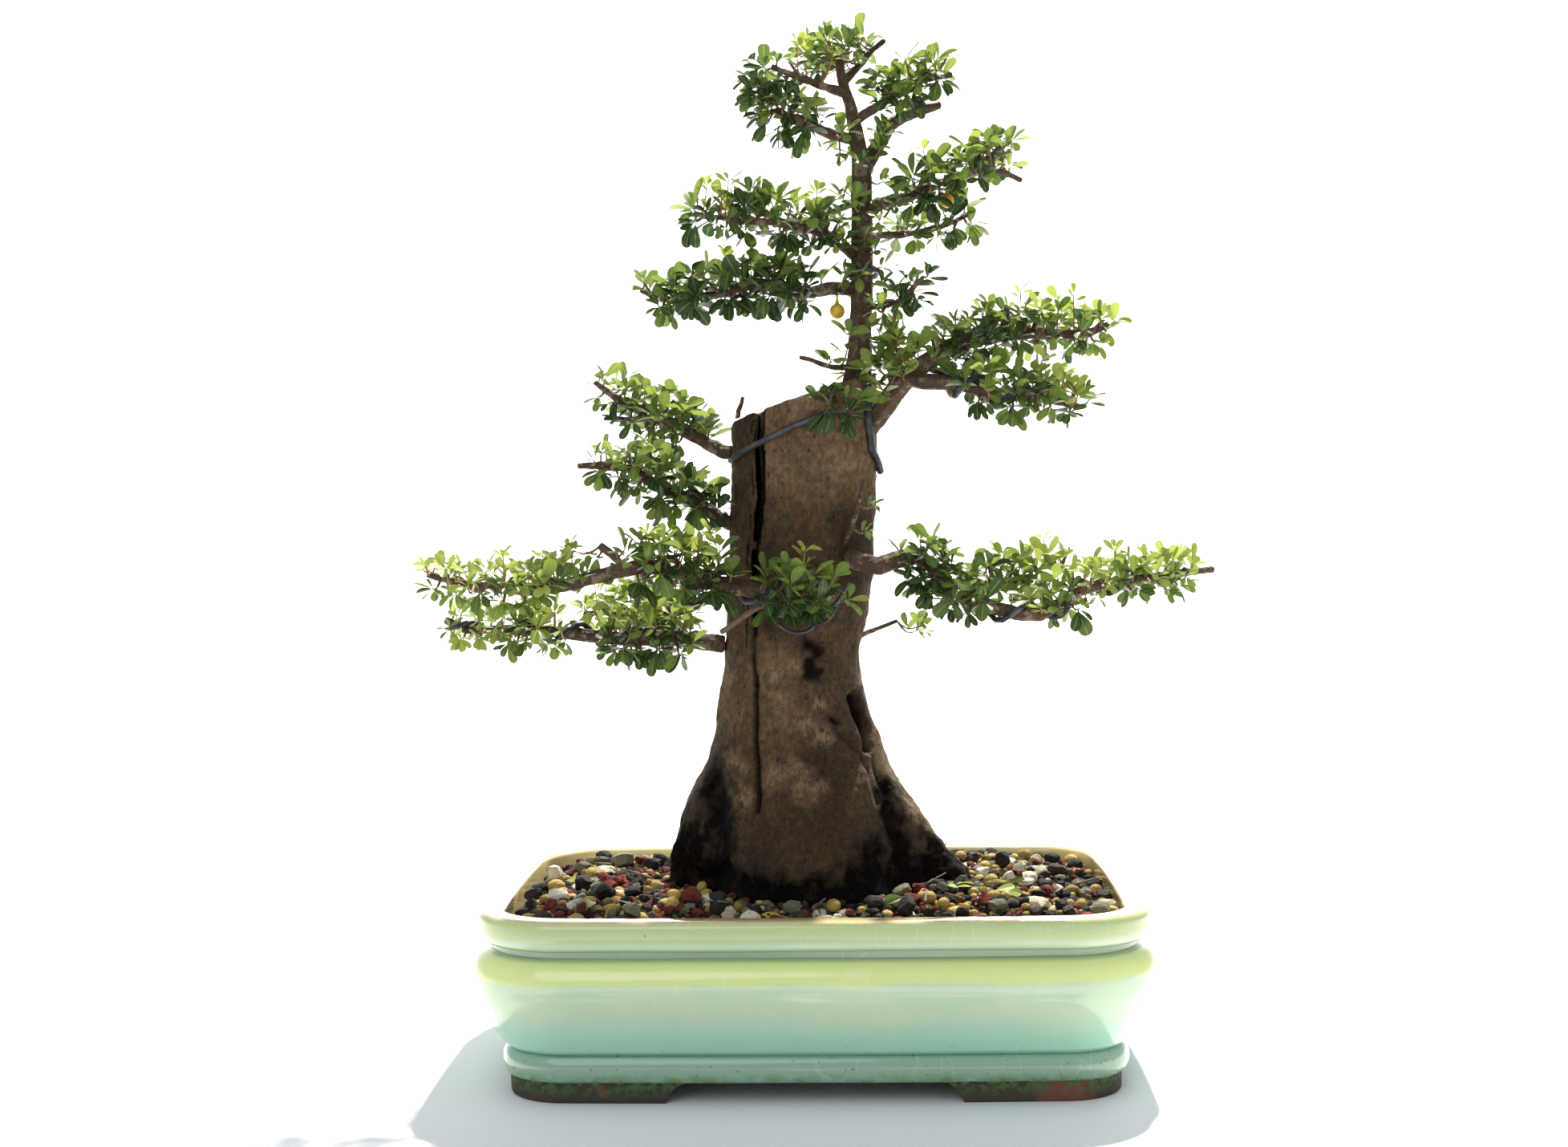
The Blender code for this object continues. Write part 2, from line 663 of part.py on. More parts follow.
def make_leader(trunk_room):
    """The leader leans a little right, then its top divides into the crown."""
    x = LEADER_PLACE * TRUNK_WIDTH - 0.004
    foot = POT_HEIGHT + TRUNK_HEIGHT - 0.006
    rise = LEADER_HEIGHT
    seat = Vector((x - 0.001, 0.0, foot))
    steps = [(0.002, 0, 0.05 * rise), (0.004, 0, 0.15 * rise), (0.0055, 0, 0.33 * rise),
             (0.006, 0, 0.52 * rise), (0.006, 0, 0.68 * rise), (0.003, 0, 0.78 * rise),
             (0.000, -0.001, 0.86 * rise), (-0.004, -0.001, 0.92 * rise), (-0.007, -0.002, rise)]
    full = LEADER_RADIUS
    radii = [1.75 * full, 1.35 * full, 1.05 * full, full, full, full, 0.95 * full, 0.85 * full,
             0.65 * full, 0.45 * full, 0.3 * full]
    forks = [
        (0.765, [(-0.014, -0.008, 0.002), (-0.030, -0.013, 0.008), (-0.045, -0.014, 0.016),
                (-0.057, -0.012, 0.036)], (0.0034, 0.0028, 0.0022, 0.0016)),
        (0.89, [(-0.014, -0.010, 0.003), (-0.030, -0.017, 0.008), (-0.040, -0.018, 0.012)],
         (0.0026, 0.0020, 0.0014)),
        (0.92, [(0.008, 0.004, 0.009), (0.016, 0.006, 0.018), (0.023, 0.008, 0.024)],
         (0.0022, 0.0016, 0.0012)),
        (0.815, [(0.012, -0.008, 0.006), (0.036, -0.014, 0.019), (0.053, -0.014, 0.022)],
         (0.0028, 0.0022, 0.0015)),
        (0.68, [(0.004, 0.004, 0.006), (0.016, 0.010, 0.026), (0.030, 0.014, 0.034),
                (0.044, 0.016, 0.038)], (0.0044, 0.0040, 0.0034, 0.0020)),
    ]
    return Limb("leader", seat, steps, radii, [trunk_room], forks, count=15)


def make_trunk_branches(room):
    """The old branches, each from its own place on the trunk."""
    wire = 2 * WIRE_RADIUS + 3 * SEAT_GAP
    made = {}
    made["low_front_left"] = Limb(
        "branch_low_front_left", on_trunk(0.60, 298),
        [(-0.018, -0.017, -0.003), (-0.040, -0.024, 0.003), (-0.069, -0.028, 0.009),
         (-0.095, -0.031, 0.017), (-0.128, -0.034, 0.010), (-0.153, -0.036, 0.005),
         (-0.190, -0.038, 0.008), (-0.211, -0.037, 0.014)],
        (0.0056, 0.0048, 0.0040, 0.0034, 0.0018), [room],
        [(0.54, [(-0.006, -0.004, 0.007), (-0.013, -0.006, 0.013)], (0.0022, 0.0017))],
        count=17, wired=wire + LOOSE_TURN)
    made["low_left"] = Limb(
        "branch_low_left", on_trunk(0.49, 184),
        [(-0.010, -0.004, 0.002), (-0.033, -0.010, 0.005), (-0.058, -0.014, 0.005),
         (-0.080, -0.016, 0.008), (-0.103, -0.018, 0.010), (-0.141, -0.016, 0.011),
         (-0.151, -0.016, 0.016)],
        (0.0052, 0.0042, 0.0034, 0.0017), [room], count=14, wired=wire)
    made["low_left_back"] = Limb(
        "branch_low_left_back", on_trunk(0.585, 160),
        [(-0.010, 0.004, 0.001), (-0.032, 0.014, -0.008), (-0.051, 0.022, -0.007),
         (-0.067, 0.028, -0.010), (-0.086, 0.032, -0.010)],
        (0.0038, 0.0030, 0.0015), [room], count=10)
    made["mid_left_upper"] = Limb(
        "branch_mid_left_upper", on_trunk(0.91, 174),
        [(-0.008, 0.002, 0.001), (-0.019, 0.006, 0.008), (-0.038, 0.010, 0.017),
         (-0.050, 0.012, 0.023), (-0.062, 0.014, 0.029), (-0.077, 0.016, 0.040)],
        (0.0042, 0.0034, 0.0015), [room],
        [(0.60, [(-0.012, 0.004, -0.002), (-0.026, 0.006, 0.000)], (0.0020, 0.0014))], count=11)
    made["mid_left_lower"] = Limb(
        "branch_mid_left_lower", on_trunk(0.742, 190),
        [(-0.008, -0.003, 0.004), (-0.017, -0.009, 0.011), (-0.041, -0.017, 0.022),
         (-0.050, -0.021, 0.030), (-0.068, -0.027, 0.032), (-0.080, -0.027, 0.032)],
        (0.0040, 0.0032, 0.0015), [room], count=11)
    made["low_right"] = Limb(
        "branch_low_right", on_trunk(0.67, 314),
        [(0.008, -0.008, -0.003), (0.018, -0.011, -0.004), (0.028, -0.009, 0.000),
         (0.038, -0.006, 0.000), (0.050, -0.009, -0.015), (0.070, -0.011, -0.025),
         (0.100, -0.015, -0.031), (0.122, -0.014, -0.018), (0.152, -0.010, -0.013),
         (0.182, -0.006, -0.009), (0.194, -0.004, -0.008)],
        (0.0056, 0.0046, 0.0038, 0.0030, 0.0017), [room],
        [(0.26, [(0.012, 0.008, 0.000), (0.032, 0.018, -0.008), (0.050, 0.026, -0.008),
                 (0.074, 0.032, -0.001)], (0.0030, 0.0022, 0.0014))],
        count=19, wired=wire)
    made["upper_right"] = Limb(
        "branch_upper_right", on_trunk(0.925, 344),
        [(0.007, -0.006, 0.008), (0.013, -0.011, 0.017), (0.023, -0.011, 0.026),
         (0.034, -0.008, 0.034), (0.051, -0.004, 0.042), (0.071, 0.000, 0.045),
         (0.093, 0.002, 0.046), (0.114, 0.004, 0.045), (0.128, 0.004, 0.050)],
        (0.0066, 0.0056, 0.0046, 0.0034, 0.0017), [room],
        [(0.24, [(0.009, -0.006, -0.002), (0.030, -0.012, -0.004), (0.046, -0.016, -0.010),
                 (0.066, -0.018, -0.011), (0.092, -0.018, -0.017)],
          (0.0046, 0.0040, 0.0030, 0.0015)),
         (0.62, [(0.002, -0.003, 0.008), (0.003, -0.004, 0.015)], (0.0020, 0.0016))],
        count=14, wired=2 * HEAVY_WIRE_RADIUS + 3 * SEAT_GAP, wired_stem=1)
    return made


def make_leader_branches(leader):
    """The young branches: each starts on the leader at a share of its length."""
    room = leader.room[:1]
    made = {}
    made["leader_left_low"] = Limb(
        "branch_leader_left_low", leader.skin(0.37, math.radians(202)),
        [(-0.005, -0.004, 0.000), (-0.015, -0.010, -0.001), (-0.025, -0.014, -0.003),
         (-0.037, -0.016, -0.001), (-0.049, -0.018, 0.002), (-0.061, -0.018, 0.000),
         (-0.076, -0.016, -0.004), (-0.100, -0.012, -0.006), (-0.114, -0.010, 0.000)],
        (0.0038, 0.0032, 0.0026, 0.0014), room,
        [(0.68, [(-0.004, 0.003, 0.007), (-0.010, 0.004, 0.013)], (0.0018, 0.0013))], count=14)
    made["leader_left_high"] = Limb(
        "branch_leader_left_high", leader.skin(0.465, math.radians(205)),
        [(-0.005, -0.004, 0.004), (-0.011, -0.008, 0.008), (-0.021, -0.010, 0.012),
         (-0.034, -0.012, 0.014), (-0.047, -0.012, 0.021), (-0.058, -0.010, 0.030)],
        (0.0034, 0.0028, 0.0022, 0.0014), room,
        [(0.55, [(-0.012, -0.008, 0.002), (-0.028, -0.014, 0.002), (-0.052, -0.016, 0.006)],
          (0.0022, 0.0018, 0.0013))], count=10, wired=2 * WIRE_RADIUS + 3 * SEAT_GAP)
    made["leader_right_high"] = Limb(
        "branch_leader_right_high", leader.skin(0.575, math.radians(335)),
        [(0.003, -0.004, 0.003), (0.011, -0.008, 0.005), (0.020, -0.010, 0.006),
         (0.035, -0.012, 0.013), (0.050, -0.012, 0.018), (0.062, -0.010, 0.026),
         (0.073, -0.010, 0.035)],
        (0.0034, 0.0028, 0.0022, 0.0014), room,
        [(0.62, [(0.012, -0.005, 0.002), (0.024, -0.009, 0.001), (0.034, -0.011, -0.004)],
          (0.0020, 0.0016, 0.0013))], count=11)
    made["leader_right_low"] = Limb(
        "branch_leader_right_low", leader.skin(0.51, math.radians(28)),
        [(0.003, 0.004, 0.001), (0.016, 0.012, 0.002), (0.031, 0.018, 0.005),
         (0.044, 0.022, 0.009), (0.055, 0.026, 0.015)],
        (0.0024, 0.0019, 0.0012), room, count=8)
    return made


def make_twigs(trunk_room, leader):
    """Small shoots that stand on their own."""
    room = leader.room[:1]
    made = {}
    made["leader"] = Limb("twig_leader", leader.skin(0.32, math.radians(330)),
                          [(0.003, -0.004, 0.000), (0.014, -0.010, 0.002), (0.021, -0.013, 0.008),
                           (0.028, -0.015, 0.015)], (0.0018, 0.0012), room, count=7)
    made["leader_foot"] = Limb("twig_leader_foot", leader.skin(0.15, math.radians(250)),
                               [(-0.003, -0.006, 0.002), (-0.013, -0.012, 0.002),
                                (-0.024, -0.016, 0.006), (-0.029, -0.018, 0.007)],
                               (0.0018, 0.0012), room, count=7)
    made["stump"] = Limb("twig_stump", on_trunk(0.94, 316),
                         [(-0.002, -0.006, 0.001), (-0.008, -0.014, 0.002), (-0.015, -0.018, 0.005)],
                         (0.0018, 0.0012), [trunk_room], count=6)
    made["trunk"] = Limb("twig_trunk", on_trunk(0.505, 8),
                         [(0.004, 0.000, 0.002), (0.010, 0.001, 0.004), (0.020, 0.001, 0.008)],
                         (0.0015, 0.0010), [trunk_room], count=6)
    made["shoot"] = Limb("twig_orange_shoot", on_trunk(0.70, 306),
                         [(0.003, -0.006, 0.006), (0.006, -0.009, 0.014), (0.011, -0.010, 0.034)],
                         (0.0015, 0.0010), [trunk_room], count=7)
    made["slab"] = Limb("twig_slab", on_trunk(1.0, 188) + Vector((0.003, 0, -0.001)),
                        [(0.000, 0.000, 0.005), (0.002, 0.000, 0.010), (0.003, -0.001, 0.014)],
                        (0.0014, 0.0011), [trunk_room], count=5)
    return made


def make_wires(leader, old, young):
    thin = WIRE_RADIUS
    heavy = HEAVY_WIRE_RADIUS
    make_wire("wire_trunk_top", trunk_wrap(
        ((0.885, 196), (0.915, 232), (0.94, 262), (0.955, 296)), thin, 16), thin, False)
    make_wire("wire_trunk_right", trunk_wrap(
        ((0.985, 327), (0.93, 326), (0.875, 331), (0.835, 352)), heavy, 10), heavy, False)
    make_wire("wire_low_front_left", coil(
        old["low_front_left"], 0.15, 0.50, 2.7, thin, loose=LOOSE_TURN), thin)
    make_wire("wire_low_left", coil(old["low_left"], 0.30, 0.97, 3.6, thin), thin)
    make_wire("wire_low_right", coil(old["low_right"], 0.36, 0.93, 4.0, thin), thin)
    make_wire("wire_upper_right", coil(
        old["upper_right"], 0.16, 0.72, 2.2, heavy, stem=1, phase=1.2), heavy)
    make_wire("wire_leader_left_high", coil(young["leader_left_high"], 0.14, 0.46, 1.6, thin), thin)
    make_wire("wire_leader_ring", coil(leader, 0.408, 0.428, 1.2, thin), thin, False)


def make_fruit(name, limb, share, stem, drop, radius, lean):
    """A small berry on a short stalk, hung from a stem."""
    seat = limb.at(share, stem)
    top = seat - Vector((0, 0, limb.radius_at(share, stem) + 2 * SEAT_GAP))
    route = [top, top + Vector((0.3 * lean, -0.3 * drop, -0.5 * drop)),
             top + Vector((lean, -0.5 * drop, -drop - 2.2 * radius))]
    path = smooth_route(route, 9)
    radii = [0.0007, 0.0007, 0.0008, 0.6 * radius, 0.9 * radius, radius, 0.95 * radius,
             0.7 * radius, 0.25 * radius]
    add_solid(name, tube(path, radii, 9), LOOKS["fruit"])
    data = tube(path, radii, 9, SEAT_GAP)
    keep_clear(add_cutter(name + "_room", data), data)


def make_all_leaves(leader, old, young, twigs):
    front = old["low_front_left"]
    make_leaves("leaves_low_front_left_tip", front, 0.58, 1.0, 0.026, 0.019, (0, 0, 0.004), past=0.009)
    make_leaves("leaves_low_front_left_mid", front, 0.28, 0.56, 0.024, 0.019, (0, -0.003, 0.004))
    make_leaves("leaves_trunk_front", front, 0.05, 0.25, 0.018, 0.021, (0, -0.014, -0.001))
    left = old["low_left"]
    make_leaves("leaves_low_left_tip", left, 0.55, 1.0, 0.026, 0.021, (0, 0, -0.002), past=0.004)
    make_leaves("leaves_low_left_inner", left, 0.10, 0.50, 0.022, 0.021, (0, -0.001, 0.000))
    make_leaves("leaves_low_left_back", old["low_left_back"], 0.25, 1.0, 0.021, 0.017, past=0.008)
    make_leaves("leaves_mid_left_upper", old["mid_left_upper"], 0.12, 1.0, 0.024, 0.014,
                (0, 0.002, 0.003), past=0.002)
    make_leaves("leaves_mid_left_lower", old["mid_left_lower"], 0.12, 0.97, 0.024, 0.015,
                (0, -0.002, 0.000))
    right = old["low_right"]
    make_leaves("leaves_low_right_inner", right, 0.16, 0.46, 0.022, 0.017, (0, -0.002, 0.000))
    make_leaves("leaves_low_right_tip", right, 0.50, 0.98, 0.026, 0.017, (0, 0, 0.002))
    make_leaves("leaves_low_right_back", right, 0.30, 1.0, 0.020, 0.015, (0, 0, 0.002), 1, 0.006)
    upper = old["upper_right"]
    make_leaves("leaves_upper_right_foot", upper, 0.12, 0.28, 0.016, 0.013, (-0.001, 0, 0.012))
    make_leaves("leaves_upper_right_top", upper, 0.34, 1.0, 0.029, 0.017, (0, 0.002, 0.001), past=0.006)
    make_leaves("leaves_upper_right_low", upper, 0.26, 1.0, 0.024, 0.015, (0, -0.002, 0.002), 1, 0.006)
    make_leaves("leaves_leader_left_low", young["leader_left_low"], 0.14, 1.0, 0.025, 0.014,
                (0, 0, 0.002), past=0.004)
    make_leaves("leaves_leader_left_high", young["leader_left_high"], 0.22, 1.0, 0.021, 0.014,
                (0, 0.002, 0.002), past=0.002)
    make_leaves("leaves_leader_left_fork", young["leader_left_high"], 0.38, 1.0, 0.017, 0.012,
                (0, -0.002, 0.001), 1, 0.006)
    make_leaves("leaves_leader_right_high", young["leader_right_high"], 0.16, 1.0, 0.025, 0.015,
                (0, -0.002, 0.000), past=0.006)
    make_leaves("leaves_leader_right_low", young["leader_right_low"], 0.25, 1.0, 0.016, 0.009,
                past=0.008)
    make_leaves("leaves_crown_left", leader, 0.30, 1.0, 0.023, 0.015, (0, 0, 0.002), 1, 0.002)
    make_leaves("leaves_crown_right", leader, 0.25, 1.0, 0.023, 0.014, (0, -0.002, 0.001), 4)
    make_leaves("leaves_crown_top", leader, 0.93, 1.0, 0.028, 0.026, (-0.002, 0.002, 0.005), past=0.006)
    make_leaves("leaves_leader_twig", twigs["leader"], 0.35, 1.0, 0.012, 0.009, past=0.004)
    make_leaves("leaves_stump", twigs["stump"], 0.45, 1.0, 0.015, 0.012, past=0.006)


def main():
    clear_scene()
    make_looks()
    make_pot()
    screens = make_screens()
    trunk_room = make_trunk()
    make_fill(screens, trunk_room)
    low, high = bounds(loft(trunk_rings()))
    KEEP_CLEAR.append((trunk_room, low, high))
    leader = make_leader(trunk_room)
    old = make_trunk_branches(trunk_room)
    young = make_leader_branches(leader)
    twigs = make_twigs(trunk_room, leader)
    make_wires(leader, old, young)
    make_fruit("fruit_left", young["leader_left_low"], 0.10, 0, 0.003, 0.0042, -0.001)
    make_fruit("fruit_right", young["leader_right_high"], 0.55, 0, 0.003, 0.0040, 0.001)
    make_all_leaves(leader, old, young, twigs)


main()
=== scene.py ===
"""The look of a wired, split-trunk bonsai in leaf, planted in grit in a glazed pot with four feet.

Metres, +Z up, in the frame of the solid model. Every visible piece is made here round that model.
"""

import math
import random

import bmesh
import bpy
import numpy as np
from mathutils import Matrix, Vector
from mathutils.bvhtree import BVHTree
from mathutils.kdtree import KDTree


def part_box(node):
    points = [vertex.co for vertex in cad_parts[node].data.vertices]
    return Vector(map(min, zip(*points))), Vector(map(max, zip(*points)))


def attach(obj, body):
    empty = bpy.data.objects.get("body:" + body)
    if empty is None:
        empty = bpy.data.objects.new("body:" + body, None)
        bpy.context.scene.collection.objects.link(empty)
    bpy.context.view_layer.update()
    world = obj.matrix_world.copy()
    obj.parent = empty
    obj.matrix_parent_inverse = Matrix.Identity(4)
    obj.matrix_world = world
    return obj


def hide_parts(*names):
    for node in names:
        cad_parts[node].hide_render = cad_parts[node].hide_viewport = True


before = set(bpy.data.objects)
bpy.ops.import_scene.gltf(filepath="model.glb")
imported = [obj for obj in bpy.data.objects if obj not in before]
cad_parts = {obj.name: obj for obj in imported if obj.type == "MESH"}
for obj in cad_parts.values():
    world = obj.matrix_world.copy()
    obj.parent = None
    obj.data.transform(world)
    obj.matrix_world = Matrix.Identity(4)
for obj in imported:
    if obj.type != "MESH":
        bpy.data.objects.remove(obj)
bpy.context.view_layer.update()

# ------------------------------------------------------------------ the stand and the light
# The tree stands on a pale sweep, seen from just above the middle of the trunk. A small hard lamp
# high behind it lights the leaves through, and the sweep and a weak front lamp fill the shadows.
EYE = Vector((0.0173, -1.2772, 0.3182))
TURN, TILT, ROLL = 0.0256, -0.0415, -0.0114
LENS_MM = 53.41


def show(thing):
    """Puts a camera, a lamp or a piece into the scene."""
    bpy.context.scene.collection.objects.link(thing)
    return thing


ahead = Vector((-math.sin(TURN) * math.cos(TILT), math.cos(TURN) * math.cos(TILT), math.sin(TILT)))
level_right = Vector((math.cos(TURN), math.sin(TURN), 0))
level_up = level_right.cross(ahead)
right = level_right * math.cos(ROLL) + level_up * math.sin(ROLL)
up = level_up * math.cos(ROLL) - level_right * math.sin(ROLL)
lens = bpy.data.cameras.new("camera")
lens.lens = LENS_MM
lens.sensor_width = 36
camera = show(bpy.data.objects.new("camera", lens))
camera.matrix_world = Matrix((
    (right.x, up.x, -ahead.x, EYE.x), (right.y, up.y, -ahead.y, EYE.y),
    (right.z, up.z, -ahead.z, EYE.z), (0, 0, 0, 1)))
bpy.context.scene.camera = camera
bpy.context.scene.view_settings.view_transform = "Standard"

world = bpy.data.worlds.new("studio")
world.use_nodes = True
world.node_tree.nodes["Background"].inputs["Color"].default_value = (0.90, 0.94, 1.0, 1)
world.node_tree.nodes["Background"].inputs["Strength"].default_value = 0.62
bpy.context.scene.world = world


def round_lamp(name, place, aim, size, watts, tint):
    data = bpy.data.lights.new(name, "AREA")
    data.shape = "DISK"
    data.size = size
    data.energy = watts
    data.color = tint
    lamp = show(bpy.data.objects.new(name, data))
    lamp.location = place
    lamp.rotation_euler = (Vector(aim) - Vector(place)).to_track_quat("-Z", "Y").to_euler()


round_lamp("key", (0.34, 1.22, 1.95), (0.0, 0.0, 0.2), 0.10, 135, (1.0, 0.965, 0.90))
round_lamp("front_fill", (-0.7, -1.9, 1.3), (0.0, 0.0, 0.2), 1.6, 9, (0.93, 0.97, 1.0))


def feed(node, name, value):
    """Gives an input a value, or links it to the output that is passed instead."""
    if isinstance(value, bpy.types.NodeSocket):
        node.id_data.links.new(value, node.inputs[name])
    else:
        node.inputs[name].default_value = value


def shader_node(owner, kind, inputs=None, **settings):
    """Adds a node to the tree that the owner, a tree or anything in it, belongs to."""
    made = owner.id_data.nodes.new(kind)
    for key, value in settings.items():
        setattr(made, key, value)
    for key, value in (inputs or {}).items():
        feed(made, key, value)
    return made


def first_socket(*values):
    return next(value for value in values if isinstance(value, bpy.types.NodeSocket))


def maths(operation, first, second):
    made = shader_node(first_socket(first, second), "ShaderNodeMath", {0: first, 1: second},
                       operation=operation)
    return made.outputs[0]


def times(first, second):
    return maths("MULTIPLY", first, second)


def plus(first, second):
    return maths("ADD", first, second)


def minus(first, second):
    return maths("SUBTRACT", first, second)


def larger(first, second):
    return maths("MAXIMUM", first, second)


def blend(share, first, second, mode="MIX"):
    """Colours are (r, g, b) or outputs: the first where the share is 0, the second where it is 1."""
    made = shader_node(first_socket(share, first, second), "ShaderNodeMix", data_type="RGBA",
                       blend_type=mode)
    for index, value in ((0, share), (6, first), (7, second)):
        feed(made, index, (*value, 1) if isinstance(value, (tuple, list)) else value)
    return made.outputs[2]


def ramp(value, low, high):
    """0 at low, 1 at high, eased between and level past them; low may be the greater."""
    made = shader_node(value, "ShaderNodeMapRange",
                       {"Value": value, "From Min": low, "From Max": high},
                       interpolation_type="SMOOTHSTEP")
    return made.outputs["Result"]


def new_material(name):
    """A material, its Principled shader and the place in the object that is being shaded."""
    made = bpy.data.materials.new(name)
    made.use_nodes = True
    shader = made.node_tree.nodes["Principled BSDF"]
    return made, shader, shader_node(shader, "ShaderNodeTexCoord").outputs["Object"]


def effect_group(name, **inputs):
    """A node group with a Place and the given numbers as inputs, and a Share as its output."""
    group = bpy.data.node_groups.new(name, "ShaderNodeTree")
    group.interface.new_socket("Place", in_out="INPUT", socket_type="NodeSocketVector")
    for label, value in inputs.items():
        socket = group.interface.new_socket(label, in_out="INPUT", socket_type="NodeSocketFloat")
        socket.default_value = value
    group.interface.new_socket("Share", in_out="OUTPUT", socket_type="NodeSocketFloat")
    return group, group.nodes.new("NodeGroupInput").outputs, group.nodes.new("NodeGroupOutput")


def bump(shader, height, strength, distance):
    made = shader_node(shader, "ShaderNodeBump",
                       {"Height": height, "Strength": strength, "Distance": distance})
    feed(shader, "Normal", made.outputs["Normal"])


# Broad, cloudy variation, used by every finish here.
clouds, taken, given = effect_group("clouds", Size=0.02, Detail=4.0)
puffs = shader_node(clouds, "ShaderNodeTexNoise", {
    "Vector": taken["Place"], "Scale": maths("DIVIDE", 1.0, taken["Size"]),
    "Detail": taken["Detail"], "Roughness": 0.6})
feed(given, "Share", ramp(puffs.outputs["Fac"], 0.32, 0.68))

# Scattered specks and pits of one size: a share of the cells of a broken-up pattern shows one.
specks, taken, given = effect_group("specks", Spacing=0.004, Width=0.3, Chance=0.3)
closer = maths("DIVIDE", 1.0, taken["Spacing"])
wobble = shader_node(specks, "ShaderNodeTexNoise", {
    "Vector": taken["Place"], "Scale": closer, "Detail": 2.0})
nudge = shader_node(specks, "ShaderNodeVectorMath", {
    0: wobble.outputs["Color"], "Scale": taken["Spacing"]}, operation="SCALE")
moved = shader_node(specks, "ShaderNodeVectorMath", {0: taken["Place"], 1: nudge.outputs[0]},
                    operation="ADD")
cells = shader_node(specks, "ShaderNodeTexVoronoi", {"Vector": moved.outputs[0], "Scale": closer})
drawn = shader_node(specks, "ShaderNodeSeparateColor", {"Color": cells.outputs["Color"]})
chosen = maths("LESS_THAN", drawn.outputs["Red"], taken["Chance"])
feed(given, "Share", times(ramp(cells.outputs["Distance"], taken["Width"], 0.0), chosen))


def cloudy(place, size, detail):
    return shader_node(place, "ShaderNodeGroup", {"Place": place, "Size": size, "Detail": detail},
                       node_tree=clouds).outputs["Share"]


def speckled(place, spacing, width, chance):
    return shader_node(place, "ShaderNodeGroup",
                       {"Place": place, "Spacing": spacing, "Width": width, "Chance": chance},
                       node_tree=specks).outputs["Share"]


def add_piece(name, points, faces, look):
    mesh = bpy.data.meshes.new(name)
    mesh.from_pydata(points.tolist(), [], faces)
    mesh.update()
    mesh.shade_smooth()
    mesh.materials.append(look)
    return show(bpy.data.objects.new(name, mesh))


floor_look, shader, place = new_material("sweep_paper")
feed(shader, "Base Color", blend(cloudy(place, 0.6, 3.0), (0.86, 0.865, 0.885), (0.90, 0.905, 0.92)))
feed(shader, "Roughness", 0.9)
SWEEP_BACK, SWEEP_FRONT, SWEEP_SIDE, SWEEP_BEND, SWEEP_TOP = 1.9, -2.6, 3.2, 1.1, 3.2
sweep_line = [(SWEEP_FRONT, 0.0), (0.0, 0.0), (SWEEP_BACK - SWEEP_BEND, 0.0)]
for degrees in range(6, 91, 6):
    bend = math.radians(degrees)
    sweep_line.append((SWEEP_BACK - SWEEP_BEND + SWEEP_BEND * math.sin(bend),
                       SWEEP_BEND * (1 - math.cos(bend))))
sweep_line.append((SWEEP_BACK, SWEEP_TOP))
corners = np.array([(side * SWEEP_SIDE, y, z) for y, z in sweep_line for side in (-1, 1)])
strips = [(2 * i, 2 * i + 1, 2 * i + 3, 2 * i + 2) for i in range(len(sweep_line) - 1)]
add_piece("sweep", corners, strips, floor_look)


# ------------------------------------------------------------------ the pot
# Slip-cast stoneware on four corner feet: a foot band, a full belly, a cut groove and a rolled rim.
# Painted light on the celadon glaze: painted sunlight makes the upper faces yellow-green and the rim
# top and inner walls cream, painted floor light makes the lower wall mint, and painted shade darkens
# the groove and the pinch.
pot_low, pot_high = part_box("pot")
POT_LENGTH, POT_DEPTH, POT_HEIGHT = pot_high - pot_low
CORNER_RADIUS = 0.049
SIDE_BOW = 0.003
FOOT_HEIGHT, FOOT_WIDTH, FOOT_SETBACK, FOOT_EDGE = 0.0108, 0.017, 0.0195, 0.0022
FOOT_GAP_X, FOOT_GAP_Y, FOOT_ARCH = 0.150, 0.096, 0.014
BAND_HEIGHT, BAND_BULGE, PINCH_INSET = 0.0142, 0.0025, 0.018
SHOULDER_DROP, RIM_HEIGHT, RIM_INSET, RIM_WIDTH, RIM_ROUND = 0.035, 0.0145, 0.0035, 0.0145, 0.004
GROOVE_HEIGHT, GROOVE_INSET, WALL, FLOOR = 0.0065, 0.0105, 0.012, 0.0105
DRAIN_RADIUS, DRAIN_SPACING = 0.011, 0.150
HAND_WOBBLE = 0.00035
BAND_TOP = FOOT_HEIGHT + BAND_HEIGHT
BELLY_TOP = POT_HEIGHT - RIM_HEIGHT - GROOVE_HEIGHT
BELLY_WIDEST = POT_HEIGHT - SHOULDER_DROP
FLOOR_TOP = FOOT_HEIGHT + FLOOR
INNER_INSET = RIM_INSET + RIM_WIDTH


def held(values):
    """The values held between 0 and 1."""
    return np.clip(values, 0, 1)


def soft_noise(points, cell, seed):
    """Smooth noise from -1 to 1 at each point, its lumps about one cell across."""
    spots = np.asarray(points) / cell + 11.37 * seed
    base = np.floor(spots).astype(np.int64)
    part = spots - base
    part = part * part * (3 - 2 * part)
    total = np.zeros(len(spots))
    for corner in range(8):
        step = np.array([corner & 1, corner >> 1 & 1, corner >> 2 & 1])
        key = base + step
        mixed = key[:, 0] * 73856093 ^ key[:, 1] * 19349663 ^ key[:, 2] * 83492791 ^ seed * 7919
        mixed = (mixed ^ mixed >> 13) * 1274126177
        mixed = (mixed ^ mixed >> 16) & 0xFFFF
        total += np.prod(np.where(step, part, 1 - part), axis=1) * (mixed / 32767.5 - 1)
    return total


